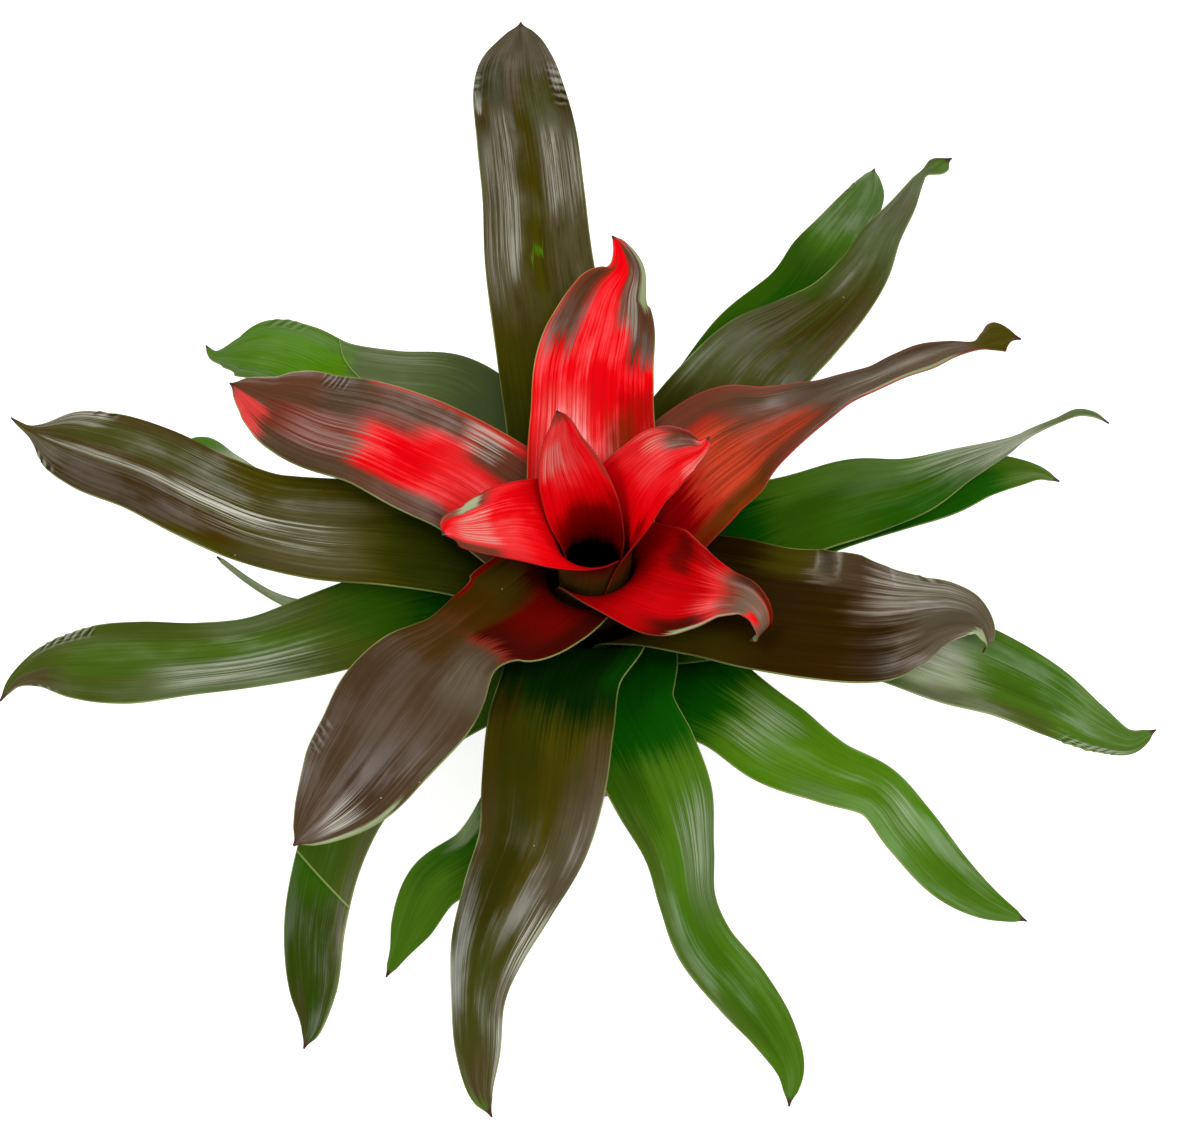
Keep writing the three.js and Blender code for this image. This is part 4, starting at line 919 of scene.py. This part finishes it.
def past_fold(veins, leaf):
    """How far past the fold line a point lies: below 0 on the plant's side, which the flap covers."""
    start, slant, _ = FOLDS[leaf["name"]]
    line = maths(veins.tree, "ADD", maths(veins.tree, "MULTIPLY", veins.across, slant), start)
    return maths(veins.tree, "SUBTRACT", veins.along, line)


def flap_of(tree, past):
    """1 on the folded-over flap and 0 past its line."""
    return step(tree, past, FOLD_SOFTNESS, -FOLD_SOFTNESS)


def folded(veins, leaf, skin, colours):
    """The folded-over part of a leaf: its own tint, a thin shadow beside it and a pale margin line."""
    tree, past = veins.tree, past_fold(veins, leaf)
    tone = getattr(colours, FOLDS[leaf["name"]][2])
    skin = blend(tree, maths(tree, "MULTIPLY", flap_of(tree, past), FOLD_TINT), skin, tone)
    beside = maths(tree, "ABSOLUTE", maths(tree, "SUBTRACT", past, FOLD_SHADOW_PLACE))
    shadow = step(tree, beside, *FOLD_SHADOW)
    skin = blend(tree, maths(tree, "MULTIPLY", shadow, FOLD_SHADE), skin, colours.deep_green)
    line = step(tree, maths(tree, "ABSOLUTE", past), *FOLD_LINE)
    return blend(tree, maths(tree, "MULTIPLY", line, FOLD_LINE_STRENGTH), skin, colours.pale_margin)


def rimmed(veins, sizes, skin, rim):
    """Adds the thin margin line, which comes and goes along the leaf."""
    tree = veins.tree
    line = step(tree, veins.edge, sizes.margin, RIM_CORE * sizes.margin)
    line = maths(tree, "MULTIPLY", line, step(tree, veins.blotch, *RIM_THRESHOLD))
    return blend(tree, line, skin, rim)


def dusted(tree, skin):
    """Adds a few specks of dust."""
    place = wire(tree, "ShaderNodeTexCoord").outputs["Object"]
    specks = wire(tree, "ShaderNodeTexVoronoi", {"Vector": place, "Scale": SPECK_SCALE, "Randomness": 1.0},
                  feature="F1")
    spot = step(tree, specks.outputs["Distance"], *SPECK_SIZE)
    draw = wire(tree, "ShaderNodeSeparateColor", {0: specks.outputs["Color"]}).outputs[0]
    speck = maths(tree, "MULTIPLY", spot, step(tree, draw, *SPECK_RARITY))
    return blend(tree, maths(tree, "MULTIPLY", speck, SPECK_STRENGTH), skin, SPECK_COLOUR)


def waxed(veins, leaf, sizes, shader):
    """Patches of waxy bloom shine past the leaf's start of wax; the rest and the underside are dull."""
    tree = veins.tree
    patches = maths(tree, "MULTIPLY", veins.blotch, WAX_PARTS[0])
    patches = maths(tree, "ADD", patches, maths(tree, "MULTIPLY", veins.fine, WAX_PARTS[1]))
    patches = maths(tree, "ADD", patches, maths(tree, "MULTIPLY", veins.broad, WAX_PARTS[2]))
    start = WAX_FROM.get(leaf["name"], WAX_USUAL)
    wax = maths(tree, "MULTIPLY", step(tree, patches, *WAX_THRESHOLD),
                step(tree, veins.far, start - WAX_BEFORE, start + WAX_AFTER))
    wax = maths(tree, "MULTIPLY", wax, GLOSS[leaf["kind"]])
    rough = maths(tree, "SUBTRACT", sizes.roughness + BARE_DULLS, maths(tree, "MULTIPLY", wax, WAX_SMOOTHS))
    rough = maths(tree, "ADD", rough, maths(tree, "MULTIPLY", veins.under, UNDERSIDE_DULLS))
    tree.links.new(rough, shader.inputs["Roughness"])
    tree.links.new(maths(tree, "ADD", BARE_SHINE, wax), shader.inputs["Specular IOR Level"])


def upper_face(veins, leaf, colours, shade):
    """The markings over the body colour, shaded along the veins, with the painted highlight and
    shade of any crinkles and any fold with its painted shadow.
    """
    tree = veins.tree
    body, deep = (getattr(colours, name) for name in KIND_COLOURS[leaf["kind"]][:2])
    skin = blend(tree, step(tree, veins.far, *BASE_FADE), deep, body)
    for mark in MARKINGS.get(leaf["name"], ()):
        skin = blend(tree, marking(veins, mark), skin, getattr(colours, mark[0]))
    skin = blend(tree, 1.0, skin, shade, "MULTIPLY")
    for ruffle in RUFFLES.get(leaf["name"], ()):
        skin = crinkled(veins, ruffle, skin, colours)
    if leaf["name"] in FOLDS:
        skin = folded(veins, leaf, skin, colours)
    return skin


def under_face(veins, leaf, colours, shade):
    """The scurfy underside, from the sheath's colour to the blade's."""
    sheath, back = (getattr(colours, name) for name in KIND_COLOURS[leaf["kind"]][3:])
    skin = blend(veins.tree, step(veins.tree, veins.along, *SHEATH_FADE), sheath, back)
    return blend(veins.tree, 1.0, skin, shade, "MULTIPLY")


def rim_colour(leaf, colours):
    """The colour of a leaf's margin line."""
    if leaf["name"] in PALE_RIMMED:
        return colours.pale_margin
    return getattr(colours, KIND_COLOURS[leaf["kind"]][2])


def leaf_material(leaf, sizes, colours):
    """Waxy strap leaf: painted markings, some of them painted highlight and shade, broken into
    hairlines along the veins, a thin margin line, a scurfy underside, fine veins as relief,
    a brown spine and a few specks of dust."""
    made, tree, shader = new_material(leaf["name"] + "_skin")
    veins = Veins(tree, leaf)
    shade = grey_level(tree, veins.pushed(1.0, BLOTCH_SHADE, HAIRLINE_SHADE[leaf["kind"]], RIB_SHADE))
    upper = upper_face(veins, leaf, colours, shade)
    skin = blend(tree, veins.under, upper, under_face(veins, leaf, colours, shade))
    skin = rimmed(veins, sizes, skin, rim_colour(leaf, colours))
    skin = blend(tree, step(tree, veins.along, *SPINE_FADE), skin, colours.spine)
    tree.links.new(dusted(tree, skin), shader.inputs["Base Color"])
    waxed(veins, leaf, sizes, shader)
    ridges = maths(tree, "ADD", maths(tree, "MULTIPLY", veins.fine, VEIN_RELIEF[0]),
                   maths(tree, "MULTIPLY", veins.broad, VEIN_RELIEF[1]))
    if leaf["name"] in FOLDS:
        flap = flap_of(tree, past_fold(veins, leaf))
        ridges = maths(tree, "ADD", ridges, maths(tree, "MULTIPLY", flap, FOLD_STEP))
    emboss(tree, shader, ridges, VEIN_STRENGTH, VEIN_DEPTH)
    return made


# ---- pot, potting mix and stem: their materials ----
PLASTIC_ROUGHNESS = 0.36
SCUFF_FADE = (0.45, 0.8)
SCUFF_PALER = 3.2  # times as pale as the plastic, and a little more
SCUFF_LIFT = 0.01
SCUFF_DULLS = 0.22
CRUMB_FADE = (0.35, 0.7)


def plastic_material(name, tint):
    """Moulded plastic: near black, satin, with a fine mould grain and dull scuffs."""
    made, tree, shader = new_material(name)
    place = wire(tree, "ShaderNodeTexCoord").outputs["Object"]
    scuff = grain(tree, place, scale=30.0, detail=5.0, roughness=0.6)
    worn = [SCUFF_PALER * channel + SCUFF_LIFT for channel in tint]
    tree.links.new(blend(tree, step(tree, scuff, *SCUFF_FADE), tint, worn), shader.inputs["Base Color"])
    rough = maths(tree, "ADD", PLASTIC_ROUGHNESS, maths(tree, "MULTIPLY", scuff, SCUFF_DULLS))
    tree.links.new(rough, shader.inputs["Roughness"])
    mould = grain(tree, place, scale=1400.0)
    emboss(tree, shader, mould, strength=0.25, depth=0.1 * MM)
    return made


def mix_material(name, dark, light, scale):
    """Crumbly organic matter between two colours, rough."""
    made, tree, shader = new_material(name)
    place = wire(tree, "ShaderNodeTexCoord").outputs["Object"]
    crumbs = grain(tree, place, scale, detail=6.0, roughness=0.65)
    tree.links.new(blend(tree, step(tree, crumbs, *CRUMB_FADE), dark, light), shader.inputs["Base Color"])
    shader.inputs["Roughness"].default_value = 0.92
    emboss(tree, shader, crumbs, strength=0.8, depth=0.8 * MM)
    return made


def dress(piece, skin, slot, *nodes):
    """Gives a piece its material and its body, and hides the nodes that it stands for. The slot is not used.
    """
    piece.data.materials.append(skin)
    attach(piece, "root")
    if nodes:
        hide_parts(*nodes)


# ---- turned pieces, in metres ----
FIT_GAP = 0.3 * MM  # between the mix and the pot or the stem
ROUNDING = 0.8 * MM  # radius of the pot's round edges
ROUND_STEPS = 4
LIP_WIDTH = 2.6 * MM
LIP_DEPTH = 9 * MM
LIP_NECK = 0.1 * MM  # how far the wall draws in under the lip
POT_SIDES = 128
DRAIN_COUNT = 6
DRAIN_RING = 29 * MM
DRAIN_RADIUS = 4 * MM
DRAIN_SIDES = 32
STEM_FOOT = 58 * MM
STEM_TOP = 131 * MM
STEM_SHOULDER = 5 * MM  # height of its domed end
STEM_ROUNDING = 1 * MM
STEM_STEPS = 40
STEM_SIDES = 64
SCAR_DEPTH = 0.35 * MM
SCAR_TURN = 0.9  # radians of the scars' wave for each step up the stem
MIX_RINGS = 26
MIX_SIDES = 120
MIX_RISE = 2 * MM  # how much higher the mix stands at the stem than at the wall
SWELL_OF_MIX = 1.6 * MM  # how high its rough top swells, how fine, and from where up
SWELLS_PER_METRE = 160
SWELL_FRACTAL = (0.8, 2.0, 4)  # dimension, lacunarity and octaves
ROUGH_FROM = STEM_FOOT - FIT_GAP + 5 * MM
CALM_AT_WALL = 4 * MM  # the top stays smooth this near to the wall and to the stem
CALM_AT_STEM = 3 * MM


def turned(profile, sides):
    """Spins a profile of (radius, height) in metres round the axis into a closed body."""
    bm = bmesh.new()
    points = [bm.verts.new((radius, 0, height)) for radius, height in profile]
    edges = [bm.edges.new(pair) for pair in zip(points, points[1:])]
    bmesh.ops.spin(bm, geom=points + edges, cent=(0, 0, 0), axis=(0, 0, 1), angle=TURN, steps=sides,
                   use_merge=True)
    bmesh.ops.remove_doubles(bm, verts=bm.verts[:], dist=1e-6)
    bmesh.ops.recalc_face_normals(bm, faces=bm.faces[:])
    return bm


def rounded(radius, height, start):
    """A quarter round about this point of a profile, from an angle in degrees."""
    angles = [math.radians(start + 90 * k / ROUND_STEPS) for k in range(ROUND_STEPS + 1)]
    return [(radius + ROUNDING * math.cos(a), height + ROUNDING * math.sin(a)) for a in angles]


def pot_radius(pot, height):
    """Outer radius of the tapered wall."""
    return pot.foot_radius + (pot.top_radius - pot.foot_radius) * height / pot.height


class NEO_OT_pot(bpy.types.Operator):
    """Builds the plain nursery pot with its rolled lip and drain holes"""
    bl_idname = "neoregelia.pot"
    bl_label = "Pot"

    def execute(self, context):
        pot = context.scene.neo_pot
        lip = pot_radius(pot, pot.height) + LIP_WIDTH
        lip_foot = pot.height - LIP_DEPTH
        inner_top = pot_radius(pot, pot.height) - pot.wall
        inner_floor = pot_radius(pot, pot.floor) - pot.wall
        profile = [(0, 0), (pot.foot_radius - ROUNDING, 0)]
        profile += rounded(pot.foot_radius - ROUNDING, ROUNDING, -90)
        profile += [(pot_radius(pot, lip_foot) - LIP_NECK, lip_foot)]
        profile += rounded(lip - ROUNDING, lip_foot + ROUNDING, -90)
        profile += rounded(lip - ROUNDING, pot.height - ROUNDING, 0)
        profile += rounded(inner_top + ROUNDING, pot.height - ROUNDING, 90)
        profile += [(inner_floor, pot.floor), (0, pot.floor)]
        piece = finish_mesh(turned(profile, POT_SIDES), "pot_shell")
        drill(piece, pot)
        dress(piece, plastic_material("nursery_plastic", pot.plastic), "pot", "pot")
        return {"FINISHED"}


def drill(piece, pot):
    """Cuts the ring of drain holes through the pot's floor."""
    bm = bmesh.new()
    for k in range(DRAIN_COUNT):
        angle = TURN * (k + 0.5) / DRAIN_COUNT
        place = (DRAIN_RING * math.cos(angle), DRAIN_RING * math.sin(angle), pot.floor / 2)
        bmesh.ops.create_cone(bm, cap_ends=True, segments=DRAIN_SIDES, radius1=DRAIN_RADIUS,
                              radius2=DRAIN_RADIUS, depth=3 * pot.floor, matrix=Matrix.Translation(place))
    cutter = finish_mesh(bm, "drill")
    cut = piece.modifiers.new("drain", "BOOLEAN")
    cut.operation = "DIFFERENCE"
    cut.object = cutter
    cut.solver = "EXACT"
    graph = bpy.context.evaluated_depsgraph_get()
    done = bpy.data.meshes.new_from_object(piece.evaluated_get(graph))
    piece.modifiers.clear()
    piece.data = done
    bpy.data.objects.remove(cutter)


def mix_height(pot, share):
    """The mix rises a little from the wall to the stem."""
    return pot.soil_top + MIX_RISE * (1 - share)


def mix_profile(pot, hole, rim):
    """From the foot of the stem's hole over the top of the mix and down the wall to the pot's floor."""
    floor = pot.floor + FIT_GAP
    shares = [k / MIX_RINGS for k in range(MIX_RINGS + 1)]
    profile = [(0, STEM_FOOT - FIT_GAP), (hole, STEM_FOOT - FIT_GAP)]
    profile += [(hole + (rim - hole) * share, mix_height(pot, share)) for share in shares]
    return profile + [(pot_radius(pot, floor) - pot.wall - FIT_GAP, floor), (0, floor)]


def roughen(bm, hole, rim):
    """Raises lumps on the top of the mix, and leaves its edges where they are."""
    for vert in bm.verts:
        if vert.co.z > ROUGH_FROM:
            radius = math.hypot(vert.co.x, vert.co.y)
            inside = float(ease(0, CALM_AT_WALL, rim - radius))
            inside *= float(ease(0, CALM_AT_STEM, radius - hole))
            lump = noise.fractal(vert.co * SWELLS_PER_METRE, *SWELL_FRACTAL)
            vert.co.z += SWELL_OF_MIX * lump * inside


# Loose lumps on the mix: name, how many, from and to in mm, flatness, seed, matter, dark and light
# colour, crumbs per metre.
LOOSE = [
    ("bark_chips", 230, (2.2, 6.5), (0.25, 0.6), 11, "bark",
     (0.045, 0.020, 0.010), (0.17, 0.085, 0.04), 700.0),
    ("perlite_grains", 90, (0.9, 2.0), (0.7, 1.0), 12, "perlite",
     (0.50, 0.48, 0.44), (0.72, 0.70, 0.66), 900.0),
]
CLEAR_OF_STEM = 6  # in millimetres
CLEAR_OF_WALL = 5 * MM
LUMP_TILT = 0.3  # in radians
LUMP_BREADTH = (0.5, 0.9)  # shares of the lump's size, as are the next two
LUMP_ROUGHNESS = 0.09
LUMP_LIFT = 0.1


class NEO_OT_soil(bpy.types.Operator):
    """Fills the pot with potting mix, bark chips and perlite"""
    bl_idname = "neoregelia.soil"
    bl_label = "Potting mix"

    def execute(self, context):
        pot = context.scene.neo_pot
        hole = STEM_RADIUS * MM + FIT_GAP
        rim = pot_radius(pot, pot.soil_top) - pot.wall - FIT_GAP
        bm = turned(mix_profile(pot, hole, rim), MIX_SIDES)
        roughen(bm, hole, rim)
        peat = mix_material("peat", (0.018, 0.010, 0.006), (0.075, 0.045, 0.026), 260.0)
        dress(finish_mesh(bm, "potting_mix"), peat, "soil", "soil")
        for name, count, sizes, flatness, seed, matter, dark, light, crumbs in LOOSE:
            lumps = scatter(name, pot, count, sizes, flatness, seed)
            dress(lumps, mix_material(matter, dark, light, crumbs), "soil")
        return {"FINISHED"}


def scatter(name, pot, count, sizes, flatness, seed):
    """Small lumps half sunk in the mix, between the stem and the wall."""
    draw = random.Random(seed)
    bm = bmesh.new()
    inner = (STEM_RADIUS + CLEAR_OF_STEM) * MM
    outer = pot_radius(pot, pot.soil_top) - pot.wall - CLEAR_OF_WALL
    for _ in range(count):
        radius = math.sqrt(draw.uniform(inner ** 2, outer ** 2))
        angle = draw.uniform(0, TURN)
        size = draw.uniform(*sizes) / 2 * MM
        share = (radius - inner) / (outer - inner)
        place = Matrix.Translation((radius * math.cos(angle), radius * math.sin(angle),
                                    mix_height(pot, share) + LUMP_LIFT * size))
        spin = Matrix.Rotation(draw.uniform(0, TURN), 4, "Z")
        tilt = Matrix.Rotation(draw.gauss(0, LUMP_TILT), 4, "X")
        squash = Matrix.Diagonal((size, size * draw.uniform(*LUMP_BREADTH),
                                  size * draw.uniform(*flatness), 1))
        made = bmesh.ops.create_icosphere(bm, subdivisions=1, radius=1.0,
                                          matrix=place @ spin @ tilt @ squash)
        for vert in made["verts"]:
            vert.co += Vector([draw.gauss(0, LUMP_ROUGHNESS * size) for _ in range(3)])
    return finish_mesh(bm, name)


class NEO_OT_stem(bpy.types.Operator):
    """Builds the short stem with its rings of old leaf scars"""
    bl_idname = "neoregelia.stem"
    bl_label = "Stem"

    def execute(self, context):
        radius = STEM_RADIUS * MM
        low = STEM_FOOT + STEM_ROUNDING
        high = STEM_TOP - STEM_SHOULDER
        profile = [(0, STEM_FOOT), (radius - STEM_ROUNDING, STEM_FOOT)]
        for k in range(STEM_STEPS + 1):
            scar = SCAR_DEPTH * abs(math.sin(SCAR_TURN * k))
            profile.append((radius - scar, low + (high - low) * k / STEM_STEPS))
        profile += [(radius / 2, STEM_TOP - STEM_ROUNDING), (0, STEM_TOP)]
        piece = finish_mesh(turned(profile, STEM_SIDES), "stem_core")
        skin = mix_material("stem_fibre", (0.10, 0.065, 0.03), (0.30, 0.22, 0.11), 320.0)
        dress(piece, skin, "stem", "stem")
        return {"FINISHED"}


# ---- the leaves, one operator for each kind ----
def grow(context, kind):
    """Builds and dresses every leaf of one kind."""
    sizes, colours = context.scene.neo_leaf, context.scene.neo_colours
    for leaf in LEAVES:
        if leaf["kind"] == kind:
            piece = build_leaf(leaf, sizes)
            dress(piece, leaf_material(leaf, sizes, colours), kind + "_leaf", leaf["name"])
    return {"FINISHED"}


class NEO_OT_cup_leaves(bpy.types.Operator):
    """Grows the small upright red leaves of the cup"""
    bl_idname = "neoregelia.cup_leaves"
    bl_label = "Cup leaves"

    def execute(self, context):
        return grow(context, "cup")


class NEO_OT_red_leaves(bpy.types.Operator):
    """Grows the red leaves around the cup"""
    bl_idname = "neoregelia.red_leaves"
    bl_label = "Red leaves"

    def execute(self, context):
        return grow(context, "red")


class NEO_OT_bronze_leaves(bpy.types.Operator):
    """Grows the long bronze leaves"""
    bl_idname = "neoregelia.bronze_leaves"
    bl_label = "Bronze leaves"

    def execute(self, context):
        return grow(context, "bronze")


class NEO_OT_green_leaves(bpy.types.Operator):
    """Grows the green leaves underneath"""
    bl_idname = "neoregelia.green_leaves"
    bl_label = "Green leaves"

    def execute(self, context):
        return grow(context, "green")


# ---- stage ----
# Softboxes: name, compass direction and height angle in degrees, width and height in metres, watts.
SOFTBOXES = [
    ("back_left", 143, 56, 0.8, 0.8, 6.5),
    ("right", 20, 30, 0.6, 0.9, 6.5),
    ("front_top", 295, 72, 0.7, 0.7, 7.5),
    ("front_right", 330, 46, 0.6, 0.6, 4.5),
    ("low_left", 208, 28, 0.6, 0.9, 7),
]
SOFTBOX_DISTANCE = 1.5
LIT_POINT = Vector((0, 0, 0.18))  # the middle of the rosette, which the softboxes face
FLOOR_HALF = 4.0
CAMERA_TARGET = Vector((0.0035, -0.0103, 0.185))
SENSOR_WIDTH = 36  # in millimetres


def towards(azimuth, elevation):
    """The direction with this azimuth and elevation, in radians."""
    level = math.cos(elevation)
    return Vector((level * math.cos(azimuth), level * math.sin(azimuth), math.sin(elevation)))


def softbox(name, place, target, size, watts):
    """A rectangular area light that faces its target."""
    lamp = bpy.data.lights.new(name, "AREA")
    lamp.shape = "RECTANGLE"
    lamp.size, lamp.size_y = size
    lamp.energy = watts
    box = bpy.data.objects.new(name, lamp)
    box.location = place
    box.rotation_euler = (target - place).to_track_quat("-Z", "Y").to_euler()
    bpy.context.scene.collection.objects.link(box)


def studio_world(stage):
    """A dim room for light and reflections, with a pale backdrop behind the floor's edge."""
    world = bpy.data.worlds.new("studio")
    world.use_nodes = True
    tree = world.node_tree
    tree.nodes.clear()
    room = wire(tree, "ShaderNodeBackground", {0: (1, 1, 1, 1), 1: stage.room})
    backdrop = wire(tree, "ShaderNodeBackground", {0: (1, 1, 1, 1), 1: 1.0})
    seen = wire(tree, "ShaderNodeLightPath").outputs["Is Camera Ray"]
    mixed = wire(tree, "ShaderNodeMixShader", {0: seen, 1: room.outputs[0], 2: backdrop.outputs[0]})
    wire(tree, "ShaderNodeOutputWorld", {0: mixed.outputs[0]})
    return world


def studio_floor(stage):
    """The pale lit floor, which is stage and no part of the object."""
    bm = bmesh.new()
    bmesh.ops.create_grid(bm, x_segments=1, y_segments=1, size=FLOOR_HALF)
    floor = finish_mesh(bm, "studio_floor")
    made, _, shader = new_material("pale_floor")
    shader.inputs["Base Color"].default_value = (*stage.floor, 1)
    shader.inputs["Roughness"].default_value = 0.7
    shader.inputs["Specular IOR Level"].default_value = 0.2
    shader.inputs["Emission Color"].default_value = (1, 1, 1, 1)
    shader.inputs["Emission Strength"].default_value = stage.floor_glow
    floor.data.materials.append(made)


def place_camera(scene, stage):
    """The camera in front of the plant, looking down on it."""
    back = Vector((0, -math.cos(stage.elevation), math.sin(stage.elevation)))
    lens = bpy.data.cameras.new("camera")
    lens.lens = stage.lens
    lens.sensor_width = SENSOR_WIDTH
    camera = bpy.data.objects.new("camera", lens)
    camera.location = CAMERA_TARGET + stage.distance * back
    camera.rotation_euler = (-back).to_track_quat("-Z", "Y").to_euler()
    scene.collection.objects.link(camera)
    scene.camera = camera


class NEO_OT_stage(bpy.types.Operator):
    """Sets the pale floor, the softboxes and the camera"""
    bl_idname = "neoregelia.stage"
    bl_label = "Stage"

    def execute(self, context):
        stage = context.scene.neo_stage
        studio_floor(stage)
        context.scene.world = studio_world(stage)
        for name, compass, height, width, tall, watts in SOFTBOXES:
            away = towards(math.radians(compass), math.radians(height))
            softbox(name, LIT_POINT + SOFTBOX_DISTANCE * away, LIT_POINT, (width, tall), watts)
        place_camera(context.scene, stage)
        context.scene.view_settings.view_transform = "Standard"
        return {"FINISHED"}


class NEO_PT_panel(bpy.types.Panel):
    """Lists the operators and the settings"""
    bl_label = "Potted neoregelia"
    bl_idname = "NEO_PT_panel"
    bl_space_type = "VIEW_3D"
    bl_region_type = "UI"
    bl_category = "Neoregelia"

    def draw(self, context):
        for operator in OPERATORS:
            self.layout.operator(operator.bl_idname)
        for group in SETTINGS:
            for name in group[1].__annotations__:
                self.layout.prop(getattr(context.scene, group[0]), name)


OPERATORS = (NEO_OT_pot, NEO_OT_soil, NEO_OT_stem, NEO_OT_cup_leaves, NEO_OT_red_leaves,
             NEO_OT_bronze_leaves, NEO_OT_green_leaves, NEO_OT_stage)
SETTINGS = (("neo_leaf", LeafSettings), ("neo_colours", LeafColours), ("neo_pot", PotSettings),
            ("neo_stage", StageSettings))


def register():
    """Registers the settings, the operators and the panel."""
    for _, group in SETTINGS:
        bpy.utils.register_class(group)
    for made in (*OPERATORS, NEO_PT_panel):
        bpy.utils.register_class(made)
    for name, group in SETTINGS:
        setattr(bpy.types.Scene, name, PointerProperty(type=group))


def unregister():
    """Takes back all that register added."""
    for name, _ in SETTINGS:
        delattr(bpy.types.Scene, name)
    for made in (*OPERATORS, NEO_PT_panel):
        bpy.utils.unregister_class(made)
    for _, group in SETTINGS:
        bpy.utils.unregister_class(group)


def main():
    """Registers the add-on, then builds every group of pieces in order."""
    register()
    for operator in OPERATORS:
        group, name = operator.bl_idname.split(".")
        getattr(getattr(bpy.ops, group), name)()


if __name__ == "__main__":
    main()
